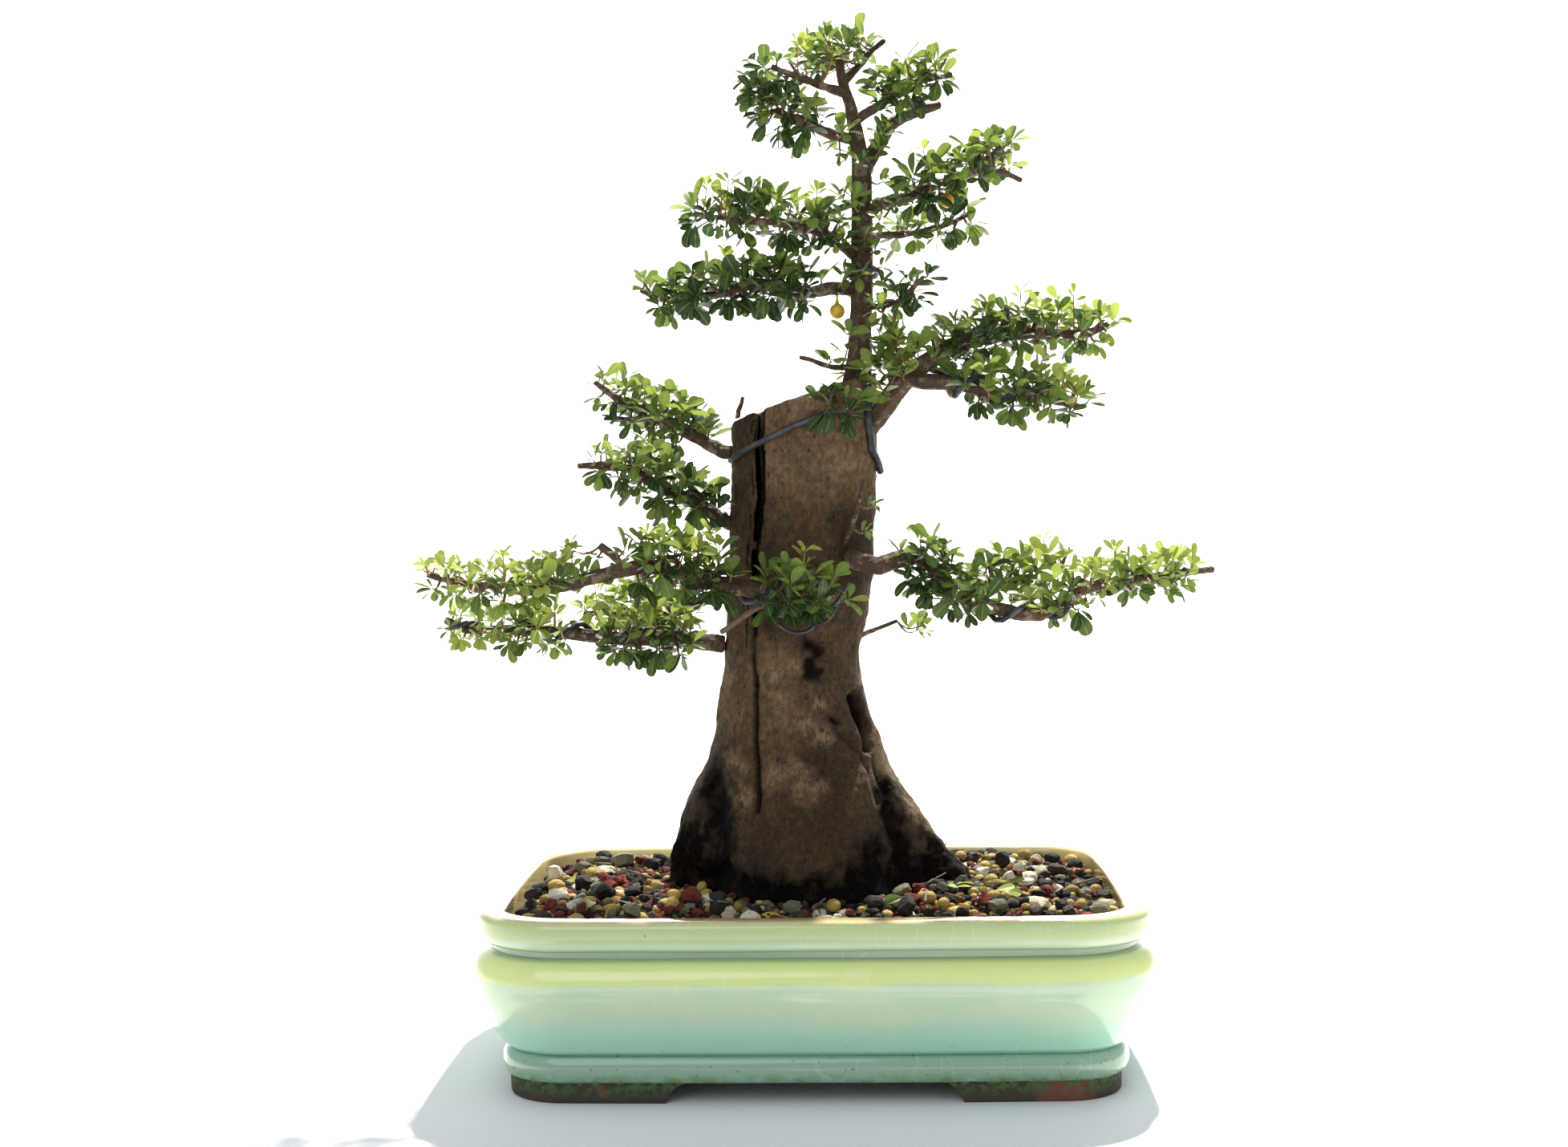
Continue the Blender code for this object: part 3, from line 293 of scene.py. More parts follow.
def plan_ring(inset, height, corner_steps=14, long_steps=60, short_steps=38):
    """The pot's plan, a rectangle with round corners and bowed sides, drawn in by inset."""
    half = np.array([POT_LENGTH / 2 - inset, POT_DEPTH / 2 - inset])
    corner = max(CORNER_RADIUS - inset, 0.2 * CORNER_RADIUS)
    signs = ((1, 1), (-1, 1), (-1, -1), (1, -1))
    rounds = []
    for quarter, sign in enumerate(signs):
        turn = np.radians(90 * quarter + np.linspace(0, 90, corner_steps))
        rounds.append(sign * (half - corner) + corner * np.column_stack([np.cos(turn), np.sin(turn)]))
    ring = []
    for quarter in range(4):
        steps = short_steps if quarter % 2 else long_steps
        share = np.linspace(0, 1, steps + 2)[1:-1, None]
        ring += [rounds[quarter],
                 rounds[quarter][-1] * (1 - share) + rounds[(quarter + 1) % 4][0] * share]
    ring = np.vstack(ring)
    bowed = ring * (1 - SIDE_BOW / half * (ring[:, ::-1] / half[::-1]) ** 2)
    return np.column_stack([bowed, np.broadcast_to(height, len(bowed))])


def skin(name, rings, look, caps=True, loop=False):
    """A mesh over rings of points: capped at both ends, open, or looped from last to first."""
    count = len(rings[0])
    points = np.vstack(rings)
    faces = []
    levels = len(rings) if loop else len(rings) - 1
    for level in range(levels):
        low = level * count
        high = (level + 1) % len(rings) * count
        faces += [(low + i, low + (i + 1) % count, high + (i + 1) % count, high + i)
                  for i in range(count)]
    if caps and not loop:
        faces.append(tuple(range(count))[::-1])
        faces.append(tuple(range((len(rings) - 1) * count, len(rings) * count)))
    return add_piece(name, points, faces, look)


def baked(piece):
    """Applies the piece's modifiers."""
    graph = bpy.context.evaluated_depsgraph_get()
    mesh = bpy.data.meshes.new_from_object(piece.evaluated_get(graph))
    piece.modifiers.clear()
    piece.data = mesh
    return piece


def carve(piece, helper, operation):
    step = piece.modifiers.new(operation.title(), "BOOLEAN")
    step.operation = operation
    step.object = helper
    step.solver = "EXACT"
    baked(piece)
    bpy.data.objects.remove(helper)
    return piece


def points_of(piece):
    """(points, normals) of a piece's mesh as arrays."""
    found = []
    for source in ("vertices", "vertex_normals"):
        data = getattr(piece.data, source)
        flat = np.empty(len(data) * 3, np.float32)
        data.foreach_get("co" if source == "vertices" else "vector", flat)
        found.append(flat.reshape(-1, 3).astype(float))
    return found


def put_points(piece, points):
    piece.data.vertices.foreach_set("co", points.astype(np.float32).ravel())
    piece.data.update()


def settle(piece, slot, *nodes):
    """Fixes a finished piece to the object and hides the solids that it stands for; the slot is not used."""
    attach(piece, "root")
    for node in nodes:
        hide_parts(node)


def belly_inset(height):
    share = (height - BAND_TOP) / (BELLY_WIDEST - BAND_TOP)
    return PINCH_INSET * (1 - min(max(share, 0.0), 1.0)) ** 1.6


def inner_inset(height):
    return INNER_INSET + (PINCH_INSET + WALL - INNER_INSET) * belly_inset(height) / PINCH_INSET


def pot_profile():
    """(inset, height) up the outside, over the rim and down the inside."""
    line = [(PINCH_INSET + 0.0010, FOOT_HEIGHT)]
    for share in np.linspace(0.06, 0.97, 11):
        line.append((PINCH_INSET - BAND_BULGE * math.sin(math.pi * share) ** 0.7,
                     FOOT_HEIGHT + share * BAND_HEIGHT))
    line.append((PINCH_INSET + 0.0007, BAND_TOP))
    for share in np.linspace(0.03, 1, 26):
        height = BAND_TOP + share * (BELLY_WIDEST - BAND_TOP)
        line.append((belly_inset(height), height))
    groove_low = BELLY_TOP + 0.25 * GROOVE_HEIGHT
    for share in np.sin(np.linspace(0.08, 1, 16) * math.pi / 2):
        line.append((GROOVE_INSET * (1 - (1 - share**2.5) ** 0.5),
                     BELLY_WIDEST + share * (groove_low - BELLY_WIDEST)))
    under_rim = BELLY_TOP + 0.75 * GROOVE_HEIGHT
    for turn in np.linspace(0, math.pi / 2, 8):
        line.append((RIM_INSET + (GROOVE_INSET - RIM_INSET) * (1 - math.sin(turn)),
                     under_rim + 0.0042 * (1 - math.cos(turn))))
    for share in (0.3, 0.6):
        rim_face = under_rim + 0.0042
        line.append((RIM_INSET - 0.0003, rim_face + share * (POT_HEIGHT - RIM_ROUND - rim_face)))
    for turn in np.linspace(0, math.pi / 2, 8):
        line.append((RIM_INSET + RIM_ROUND * (1 - math.cos(turn)),
                     POT_HEIGHT - RIM_ROUND * (1 - math.sin(turn))))
    line.append(((RIM_INSET + INNER_INSET) / 2, POT_HEIGHT))
    for turn in np.linspace(0, math.pi / 2, 7):
        line.append((INNER_INSET - 0.003 * (1 - math.sin(turn)),
                     POT_HEIGHT - 0.003 * (1 - math.cos(turn))))
    for height in np.linspace(POT_HEIGHT - 0.006, FLOOR_TOP, 12):
        line.append((inner_inset(min(height, BELLY_TOP)), height))
    return line


def foot_rings():
    """A rail under the pot whose lower edge rises over an arch in each side, leaving four feet."""
    fine = {"corner_steps": 30, "long_steps": 190, "short_steps": 110}
    plan = plan_ring(FOOT_SETBACK, 0.0, **fine)
    half_gap = np.where(np.abs(plan[:, 1]) > POT_DEPTH / 2 - FOOT_SETBACK - CORNER_RADIUS / 2,
                        FOOT_GAP_X / 2 - np.abs(plan[:, 0]), FOOT_GAP_Y / 2 - np.abs(plan[:, 1]))
    inward = held(half_gap / FOOT_ARCH)
    below = FOOT_HEIGHT * np.sqrt(1 - (1 - inward) ** 2)
    edge = np.minimum(FOOT_EDGE, 0.5 * (FOOT_HEIGHT - below) + 0.0004)
    top = FOOT_HEIGHT + 0.3 * FLOOR
    rings = [plan_ring(FOOT_SETBACK - 0.0003, top, **fine)]
    for outer in (True, False):
        for turn in np.linspace(0, math.pi / 2, 6):
            in_by, up_by = 1 - math.cos(turn), 1 - math.sin(turn)
            if not outer:
                in_by, up_by = up_by, in_by
            inset = edge.mean() * in_by if outer else FOOT_WIDTH - edge.mean() * in_by
            rings.append(plan_ring(FOOT_SETBACK + inset, below + edge * up_by, **fine))
    rings.append(plan_ring(FOOT_SETBACK + FOOT_WIDTH, top, **fine))
    return rings[::-1]


glaze_look, shader, place = new_material("celadon_glaze")
height_of = shader_node(shader, "ShaderNodeSeparateXYZ", {"Vector": place}).outputs["Z"]
facing = shader_node(shader, "ShaderNodeNewGeometry").outputs["Normal"]
upward = shader_node(shader, "ShaderNodeSeparateXYZ", {"Vector": facing}).outputs["Z"]
haze = cloudy(place, 0.05, 5.0)
fine_haze = cloudy(place, 0.006, 6.0)
# Painted sunlight: faces that look up, above the band, are coloured yellow-green as if lit by the lamp.
lean = plus(upward, times(haze, 0.10))
sunlit_upper_faces = ramp(lean, 0.10, 0.20)
colour = blend(haze, (0.50, 0.66, 0.45), (0.58, 0.68, 0.46))
# Painted floor light: the lower wall is coloured mint for the pale floor's glow reflected in the glaze.
floor_bounce_low_wall = ramp(height_of, 0.052, 0.030)
colour = blend(floor_bounce_low_wall, colour, (0.36, 0.67, 0.49))
sunlit_upper_faces = times(sunlit_upper_faces, ramp(height_of, 0.030, 0.045))
colour = blend(sunlit_upper_faces, colour, (0.66, 0.75, 0.29))
rim_face = ramp(height_of, 0.0835, 0.0875)
colour = blend(rim_face, colour, (0.46, 0.55, 0.25))
colour = blend(ramp(height_of, 0.0265, 0.0245), colour, (0.25, 0.40, 0.28))
lamp_facing_top = ramp(upward, 0.55, 0.92)
# Painted sunlight: the inner walls, which face the middle of the pot, are cream as if lit by the lamp.
inward = shader_node(shader, "ShaderNodeVectorMath", {0: facing, 1: place},
                     operation="DOT_PRODUCT").outputs["Value"]
colour = blend(ramp(inward, -0.01, -0.05), colour, (0.86, 0.74, 0.36))
# Painted sunlight: the flat top of the rim is cream as if lit from above.
painted_sun_cream = blend(fine_haze, (0.62, 0.50, 0.24), (0.70, 0.60, 0.32))
colour = blend(times(lamp_facing_top, ramp(height_of, 0.088, 0.094)), colour, painted_sun_cream)
# Painted shade: darker in the groove under the rim.
groove_shade = times(ramp(height_of, 0.0745, 0.0775), ramp(height_of, 0.0835, 0.0800))
colour = blend(groove_shade, colour, (0.34, 0.46, 0.30))
# Painted shade: darker in the pinch under the belly.
pinch_shade = times(ramp(height_of, 0.0215, 0.0250), ramp(height_of, 0.0285, 0.0255))
colour = blend(pinch_shade, colour, (0.20, 0.40, 0.29))
streak = shader_node(shader, "ShaderNodeMapping", {"Vector": place, "Scale": (60, 60, 9)})
crackle = shader_node(shader, "ShaderNodeTexVoronoi", {"Vector": streak.outputs[0], "Scale": 1.0},
                      feature="DISTANCE_TO_EDGE")
crazed = times(ramp(crackle.outputs["Distance"], 0.016, 0.004), ramp(haze, 0.35, 0.8))
colour = blend(times(crazed, 0.12), colour, (0.78, 0.86, 0.66))
near_ground = ramp(height_of, 0.040, 0.012)
dirt = speckled(place, 0.0034, 0.32, 0.20)
dirt = times(dirt, near_ground)
strays = speckled(place, 0.013, 0.06, 0.35)
marks = larger(dirt, strays)
colour = blend(marks, colour, (0.05, 0.055, 0.035))
smear = times(ramp(height_of, 0.0175, 0.0120), fine_haze)
colour = blend(smear, colour, (0.11, 0.20, 0.06))
bare = ramp(plus(height_of, times(fine_haze, 0.0012)), 0.0119, 0.0109)
clay = blend(haze, (0.036, 0.034, 0.022), (0.052, 0.040, 0.028))
red_clay = cloudy(place, 0.021, 2.0)
clay = blend(ramp(red_clay, 0.90, 1.0), clay, (0.11, 0.045, 0.030))
from_patch = shader_node(shader, "ShaderNodeVectorMath", {0: place, 1: (0.127, -0.106, 0.004)},
                         operation="DISTANCE").outputs["Value"]
from_patch = plus(from_patch, times(fine_haze, 0.008))
clay = blend(times(ramp(from_patch, 0.024, 0.012), 0.8), clay, (0.17, 0.052, 0.034))
moss = cloudy(place, 0.0035, 8.0)
moss = times(ramp(moss, 0.25, 0.8), ramp(height_of, 0.0015, 0.0095))
clay = blend(moss, clay, (0.055, 0.115, 0.03))
colour = blend(bare, colour, clay)
feed(shader, "Base Color", colour)
dull = blend(larger(marks, smear), [0.10] * 3, [0.55] * 3)
dull = blend(bare, dull, [0.88] * 3)
feed(shader, "Roughness", dull)
glassy = blend(bare, [0.7] * 3, [0.0] * 3)
feed(shader, "Coat Weight", glassy)
feed(shader, "Coat Roughness", 0.06)
feed(shader, "IOR", 1.52)
bump(shader, plus(haze, times(fine_haze, 0.35)), 0.25, 0.0006)

pot = skin("pot_body", [plan_ring(inset, height) for inset, height in pot_profile()], glaze_look)
carve(pot, skin("feet", foot_rings(), glaze_look, loop=True), "UNION")
for side in (-1, 1):
    around = np.linspace(0, 2 * math.pi, 33)[:-1]
    drain = np.column_stack([side * DRAIN_SPACING / 2 + DRAIN_RADIUS * np.cos(around),
                             DRAIN_RADIUS * np.sin(around), np.zeros(32)])
    carve(pot, skin("drain", [drain, drain + (0, 0, 2 * FLOOR_TOP)], glaze_look), "DIFFERENCE")
points, normals = points_of(pot)
put_points(pot, points + normals * (HAND_WOBBLE * soft_noise(points, 0.045, 3)
                                    * held(points[:, 2] / 0.02))[:, None])
pot.data.set_sharp_from_angle(angle=math.radians(50))
settle(pot, "glaze", "pot")


# ------------------------------------------------------------------ the trunk
# One old stem, chopped flat at a slant and split from the cut almost to the roots, which leaves a
# slab on its left. Its bark is thin and pitted above, and black where the roots go in, partly damp and
# partly painted shade; painted shade also darkens the split, the hollows and the front.
TRUNK_HEIGHT, TRUNK_WIDTH, TRUNK_DEPTH, TRUNK_BURIED = 0.266, 0.079, 0.066, 0.030
CUT_RISE, ROOT_DEPTH, ROOT_RISE = 0.013, 0.30, 0.36
CRACK_PLACE, CRACK_WIDTH, CRACK_FOOT = -0.36, 0.0075, 0.17
TRUNK_GRAIN = 0.00127
# (share of its height above the rim, left, right, half depth), as shares of its width and depth
TRUNK_OUTLINE = np.array((
    (-0.12, -1.07, 1.20, 1.14), (-0.03, -1.06, 1.16, 1.10), (0.02, -1.02, 1.09, 1.05),
    (0.06, -1.00, 0.95, 0.97), (0.11, -0.95, 0.82, 0.88), (0.17, -0.89, 0.69, 0.78),
    (0.24, -0.77, 0.54, 0.67), (0.32, -0.68, 0.43, 0.58), (0.40, -0.64, 0.34, 0.53),
    (0.47, -0.62, 0.32, 0.51), (0.57, -0.60, 0.39, 0.50), (0.69, -0.58, 0.43, 0.50),
    (0.84, -0.55, 0.455, 0.50), (1.00, -0.544, 0.456, 0.48)))
# bearing and spread in degrees of each surface root
ROOTS = ((-8, 15), (48, 24), (104, 26), (150, 22), (186, 20), (236, 20), (276, 34))


def smooth_read(x, stops, values):
    """A smooth curve through (stops, values), read at x."""
    slopes = np.gradient(values, stops)
    i = np.clip(np.searchsorted(stops, x) - 1, 0, len(stops) - 2)
    span = stops[i + 1] - stops[i]
    t = (x - stops[i]) / span
    return ((1 + 2 * t) * (1 - t) ** 2 * values[i] + t * (1 - t) ** 2 * span * slopes[i]
            + t * t * (3 - 2 * t) * values[i + 1] + t * t * (t - 1) * span * slopes[i + 1])


def trunk_ring(share, bearings):
    left, right, deep = (smooth_read(share, TRUNK_OUTLINE[:, 0], TRUNK_OUTLINE[:, i]) for i in (1, 2, 3))
    rooty = np.zeros(len(bearings))
    for centre, spread in ROOTS:
        away = (np.degrees(bearings) - centre + 180) % 360 - 180
        rooty += np.exp(-((away / spread) ** 2))
    fade = held((ROOT_RISE - share) / ROOT_RISE)
    pull = 1 - ROOT_DEPTH * fade**1.5 * (1 - np.minimum(rooty, 1.0))
    lean = held((share - 0.72) / 0.28) ** 2
    return np.column_stack([
        TRUNK_WIDTH * ((right + left) / 2 + np.cos(bearings) * (right - left) / 2 * pull),
        TRUNK_DEPTH * deep * np.sin(bearings) * pull,
        POT_HEIGHT + TRUNK_HEIGHT * share + CUT_RISE * lean * np.cos(bearings) * pull])


def crack_rings():
    """The split: it wanders a little, gapes at the cut and closes near the roots."""
    top = POT_HEIGHT + 1.1 * TRUNK_HEIGHT
    foot = POT_HEIGHT + CRACK_FOOT * TRUNK_HEIGHT
    rings = []
    for share in np.linspace(0, 1, 40):
        height = foot + share * (top - foot)
        middle = CRACK_PLACE * TRUNK_WIDTH + np.interp(
            share, (0, 0.25, 0.5, 0.72, 1), (-0.001, -0.0025, -0.0022, 0.0018, 0))
        middle += 0.0005 * math.sin(31 * share) + 0.0003 * math.sin(77 * share)
        wide = CRACK_WIDTH * np.interp(share, (0, 0.25, 0.5, 0.72, 1), (0.12, 0.20, 0.30, 0.42, 0.53))
        wide += 0.0003 * math.sin(53 * share)
        reach = (0.30 + 0.35 * share) * TRUNK_DEPTH - TRUNK_DEPTH / 2
        rings.append(np.array([
            (middle - wide, -2 * TRUNK_DEPTH, height), (middle + wide, -2 * TRUNK_DEPTH, height),
            (middle + 0.5 * wide, reach, height), (middle - 0.5 * wide, reach, height)]))
    return rings


def remesh(piece, grain, smoothing):
    """An even mesh of small squares over the piece, its facets worn away."""
    step = piece.modifiers.new("Even", "REMESH")
    step.mode = "VOXEL"
    step.voxel_size = grain
    wear = piece.modifiers.new("Wear", "SMOOTH")
    wear.factor = 0.5
    wear.iterations = smoothing
    baked(piece)
    piece.data.shade_smooth()
    return piece


def line_distance(points, line):
    """How far each point lies, seen from the front, from a line of (x, height) stops."""
    best = np.full(len(points), 1.0)
    flat = points[:, [0, 2]]
    stops = np.array(line, float)
    for start, end in zip(stops, stops[1:]):
        along = end - start
        share = held((flat - start) @ along / (along @ along))
        best = np.minimum(best, np.linalg.norm(flat - start - share[:, None] * along, axis=1))
    return best


def hump(distance, width):
    return np.exp(-((distance / width) ** 2))


def paint(piece, name, *shares):
    """Stores up to three shares for each point, for the material to read."""
    values = np.ones((len(shares[0]), 4), np.float32)
    for i in range(3):
        values[:, i] = shares[i] if i < len(shares) else 0
    layer = piece.data.color_attributes.new(name, "FLOAT_COLOR", "POINT")
    layer.data.foreach_set("color", values.ravel())


def read_paint(shader, name):
    shares = shader_node(shader, "ShaderNodeAttribute", attribute_name=name).outputs["Color"]
    return shader_node(shader, "ShaderNodeSeparateColor", {"Color": shares}).outputs


bark_look, shader, place = new_material("old_bark")
damp_and_shade, ochre, hollow = read_paint(shader, "bark_wear_and_shade")
rust, lit_ridge_and_pale, shade = read_paint(shader, "bark_tint_and_light")
grain_place = shader_node(shader, "ShaderNodeMapping", {"Vector": place, "Scale": (1, 1, 0.6)})
grain_place = grain_place.outputs[0]
broad = cloudy(place, 0.028, 6.0)
fibres = cloudy(grain_place, 0.0026, 8.0)
colour = blend(broad, (0.170, 0.100, 0.050), (0.320, 0.200, 0.102))
colour = blend(times(fibres, 0.60), colour, (0.046, 0.028, 0.017))
grey = cloudy(place, 0.0065, 7.0)
colour = blend(times(ramp(grey, 0.55, 1.0), 0.5), colour, (0.165, 0.118, 0.074))
colour = blend(rust, colour, (0.060, 0.030, 0.020))
colour = blend(times(ochre, ramp(fibres, 0.9, 0.3)), colour, (0.235, 0.160, 0.088))
# Painted light and pale bark: paler on the root ridge that the lamp catches, in patches on the upper flanks
# and on the cut top.
colour = blend(times(lit_ridge_and_pale, ramp(fibres, 1.0, 0.35)), colour, (0.250, 0.182, 0.108))
flecks = speckled(place, 0.0025, 0.30, 0.30)
colour = blend(times(flecks, 0.55), colour, (0.42, 0.30, 0.18))
# Painted shade: darker by height, on the slab, on the cut top and most on the front, away from the lamp.
colour = blend(shade, colour, (0.28, 0.26, 0.24), "MULTIPLY")
pits = speckled(grain_place, 0.0036, 0.27, 0.45)
small_pits = speckled(place, 0.0013, 0.32, 0.35)
pitted = larger(pits, times(small_pits, 0.7))
colour = blend(times(pitted, 0.85), colour, (0.012, 0.008, 0.006))
moss = cloudy(place, 0.018, 5.0)
ragged = cloudy(place, 0.009, 9.0)
# The dark base, partly damp and partly painted shade: black low down and, on the front, under the root
# arches, in the gully and in the groove.
damp_and_shade = plus(damp_and_shade, times(minus(ragged, 0.5), 0.55))
damp_and_shade_edge = ramp(damp_and_shade, 0.02, 0.60)
green = times(times(moss, damp_and_shade_edge), 0.6)
colour = blend(green, colour, (0.036, 0.031, 0.010))
colour = blend(times(damp_and_shade_edge, 0.6), colour, (0.022, 0.014, 0.009))
wet_and_shaded = ramp(damp_and_shade, 0.42, 0.98)
colour = blend(wet_and_shaded, colour, (0.0045, 0.0034, 0.0028))
# Painted shade in the split and the hollows.
colour = blend(hollow, colour, (0.006, 0.004, 0.003))
feed(shader, "Base Color", colour)
feed(shader, "Roughness", blend(wet_and_shaded, [0.78] * 3, [0.62] * 3))
dark_places = larger(wet_and_shaded, hollow)
feed(shader, "Specular IOR Level", blend(dark_places, [0.16] * 3, [0.03] * 3))
relief = minus(times(fibres, 0.5), pitted)
relief = plus(relief, times(grey, 0.4))
bump(shader, relief, 1.0, 0.0013)

# Lines of (x, height) on the front of the trunk: its grooves, folds, holes and root arches.
RIGHT_GROOVE = ((0.024, 0.190), (0.031, 0.180), (0.033, 0.168), (0.035, 0.156), (0.038, 0.147),
                (0.038, 0.138), (0.042, 0.131), (0.048, 0.121), (0.051, 0.106))
FOLD = ((0.012, 0.183), (0.018, 0.176), (0.025, 0.169), (0.0285, 0.160), (0.030, 0.149), (0.0325, 0.142))
LEFT_GULLY = ((-0.057, 0.158), (-0.053, 0.142), (-0.051, 0.128), (-0.054, 0.105))
BASE_LINE = ((-0.070, 0.100), (-0.046, 0.119), (-0.035, 0.110), (-0.021, 0.106), (0.002, 0.111),
             (0.014, 0.107), (0.020, 0.120), (0.034, 0.128), (0.045, 0.112), (0.060, 0.098))
HOLLOW = ((0.0225, 0.198), (0.0265, 0.190), (0.0295, 0.180), (0.030, 0.172))
UPPER_GROOVE = ((0.024, 0.345), (0.021, 0.310), (0.018, 0.285), (0.017, 0.255), (0.021, 0.235))
NOTCH = ((0.0105, 0.188), (0.0125, 0.186))
KNOT = ((-0.004, 0.228), (0.002, 0.224), (-0.003, 0.213), (0.004, 0.212))
bearings = np.linspace(0, 2 * math.pi, 241)[:-1]
levels = np.linspace(-TRUNK_BURIED / TRUNK_HEIGHT, 1.0, 200)
trunk = skin("trunk_wood", [trunk_ring(level, bearings) for level in levels], bark_look)
carve(trunk, skin("split", crack_rings(), bark_look), "DIFFERENCE")
remesh(trunk, TRUNK_GRAIN, 3)
points, normals = points_of(trunk)
x, y, z = points.T
front = held(0.5 - y / 0.02)
deep = held((0.130 - z) / 0.03)
reach_in = 0.0035 * hump(line_distance(points, RIGHT_GROOVE), 0.0032 + 0.003 * deep)
reach_in += 0.0035 * deep * hump(line_distance(points, RIGHT_GROOVE[5:]), 0.009)
fold = line_distance(points, FOLD)
reach_in += 0.0011 * hump(fold, 0.0012) - 0.0012 * hump(fold - 0.0035, 0.0022)
reach_in += 0.0055 * hump(line_distance(points, LEFT_GULLY), 0.0062)
rot = line_distance(points, HOLLOW)
reach_in += 0.0095 * hump(rot, 0.0030) - 0.0012 * hump(rot - 0.0058, 0.0018)
reach_in += 0.0026 * hump(line_distance(points, NOTCH), 0.0016)
reach_in += 0.0012 * hump(line_distance(points, UPPER_GROOVE), 0.0030)
scar = hump(line_distance(points, KNOT), 0.0050)
reach_in += 0.0010 * scar * (1 + soft_noise(points, 0.0028, 5))
lobe = held(1 - ((x - 0.006) / 0.036) ** 2 - ((z - 0.138) / 0.030) ** 2)
reach_in -= 0.0050 * lobe**0.75
under = np.interp(x, *zip(*BASE_LINE)) - z
reach_in += 0.0042 * held(under / 0.006) * (np.abs(x + 0.004) < 0.056)
reach_in *= front
grain = soft_noise(points * (1, 1, 0.22), 0.0042, 8)
rough_base = 1 + 1.6 * held((0.15 - z) / 0.05) * held(np.abs(x) / 0.05 - 0.5)
lift = 0.0011 * soft_noise(points, 0.034, 1) + 0.0008 * soft_noise(points, 0.011, 2)
lift += (0.00038 * grain + 0.00040 * soft_noise(points, 0.0034, 4)) * rough_base
lift += 0.0011 * (rough_base - 1) * soft_noise(points * (1, 1, 0.5), 0.0075, 6)
picker = random.Random(41)
for _ in range(70):
    spot = points[picker.randrange(len(points))]
    if spot[2] < 0.15:
        continue
    size = picker.uniform(0.0008, 0.0017)
    lift -= 0.7 * size * hump(np.linalg.norm((points - spot) * (1, 1, 0.7), axis=1), size)
beside = line_distance(points, [ring.mean(0)[[0, 2]] for ring in crack_rings()])
lift *= held(beside / 0.007 - 0.3)
low_split = held((0.215 - z) / 0.02)
reach_in += 0.0030 * hump(beside, 0.0013) * low_split * front
put_points(trunk, points + normals * (lift - reach_in)[:, None])
# Painted shade: black inside the split, the hollow, the notch, the groove and the fold, and in patches on
# the knot scar.
in_split = (beside < 0.0045) * (np.abs(normals[:, 0]) > 0.6) * np.clip((y + 0.034) / 0.004, 0.5, 1)
in_split = np.maximum(in_split, hump(beside, 0.0014) * held((0.25 - z) / 0.03) * front)
holes = front * np.maximum.reduce([
    held(1.5 * hump(rot, 0.0034)), hump(line_distance(points, NOTCH), 0.0018),
    0.8 * hump(line_distance(points, RIGHT_GROOVE), 0.0016), 0.45 * hump(fold, 0.0009),
    0.95 * held(1.6 * scar - 0.3) * held(0.5 + 2.2 * soft_noise(points, 0.0045, 12))])
foot = (0.110 + 0.026 * hump(x + 0.072, 0.030) + 0.014 * hump(x - 0.058, 0.020)
        + 0.006 * soft_noise(points, 0.016, 9))
right_side = line_distance(points, RIGHT_GROOVE[4:])
# Partly damp, partly painted shade: black low on the trunk and, on the front, under the root arches, below
# the foot line and in the left gully and the right groove.
damp_and_shade_share = np.maximum(held(0.5 + (0.108 - z) / 0.012), front * np.maximum.reduce([
    held(0.55 + under / 0.022) * (under > -0.014), held(0.5 + (foot - z) / 0.028),
    held(1.35 - line_distance(points, LEFT_GULLY) / 0.014), held(1.35 - right_side / 0.0085)]))
patches = ((-0.004, 0.187, 0.006), (0.004, 0.196, 0.0035), (0.005, 0.180, 0.0055),
           (-0.009, 0.163, 0.006), (-0.004, 0.153, 0.009), (-0.020, 0.158, 0.007),
           (-0.043, 0.163, 0.008), (-0.039, 0.148, 0.007), (-0.020, 0.214, 0.005),
           (-0.008, 0.216, 0.005), (-0.046, 0.210, 0.005))
patched = np.zeros(len(points))
for across, height, size in patches:
    away = np.hypot(x - across, z - height) / size
    patched = np.maximum(patched, held(1.35 - away + 0.5 * soft_noise(points, 0.0045, 13)))
patched *= front
# Painted light: the root ridge on the right, which the lamp catches, is paler.
ridge = line_distance(points, ((0.036, 0.172), (0.044, 0.158), (0.056, 0.140), (0.070, 0.120),
                               (0.086, 0.098)))
lit_ridge = held(1.5 - ridge / 0.0085) * front * held(0.9 + soft_noise(points, 0.006, 14))
lit_ridge *= 1 - hump(right_side, 0.0055)
flank = held(0.4 + 0.6 * soft_noise(points, 0.02, 15)) * held((z - 0.14) / 0.06)
reddish = held(1.2 - np.hypot((x - 0.008) / 0.022, (z - 0.190) / 0.045))
reddish = np.maximum(0.75 * reddish, 0.8 * scar) * front
cut_face = (normals[:, 2] > 0.8) * (z > 0.33)
paint(trunk, "bark_wear_and_shade", damp_and_shade_share, np.maximum(patched, 0.2 * cut_face), np.maximum(holes, in_split))
# Painted shade: darker by height, on the slab left of the split, on the cut top and most on the front, away
# from the lamp.
shade = np.interp(z, (0.10, 0.13, 0.16, 0.20, 0.24, 0.30, 0.325, 0.36),
                  (1.0, 0.95, 0.80, 0.30, 0.85, 0.80, 0.05, 0.0))
shade = np.maximum(shade, 0.85 * (x < CRACK_PLACE * TRUNK_WIDTH) * held((z - 0.24) / 0.05))
shade = np.maximum(shade, 0.75 * cut_face)
shade = held(shade + 0.35 * soft_noise(points, 0.024, 16)) * (0.55 + 0.45 * front)
paint(trunk, "bark_tint_and_light", reddish, np.maximum(np.maximum(lit_ridge, 0.25 * flank), 0.1 * cut_face),
      shade * (1 - 0.8 * held(lit_ridge + patched)))
settle(trunk, "bark", "trunk")


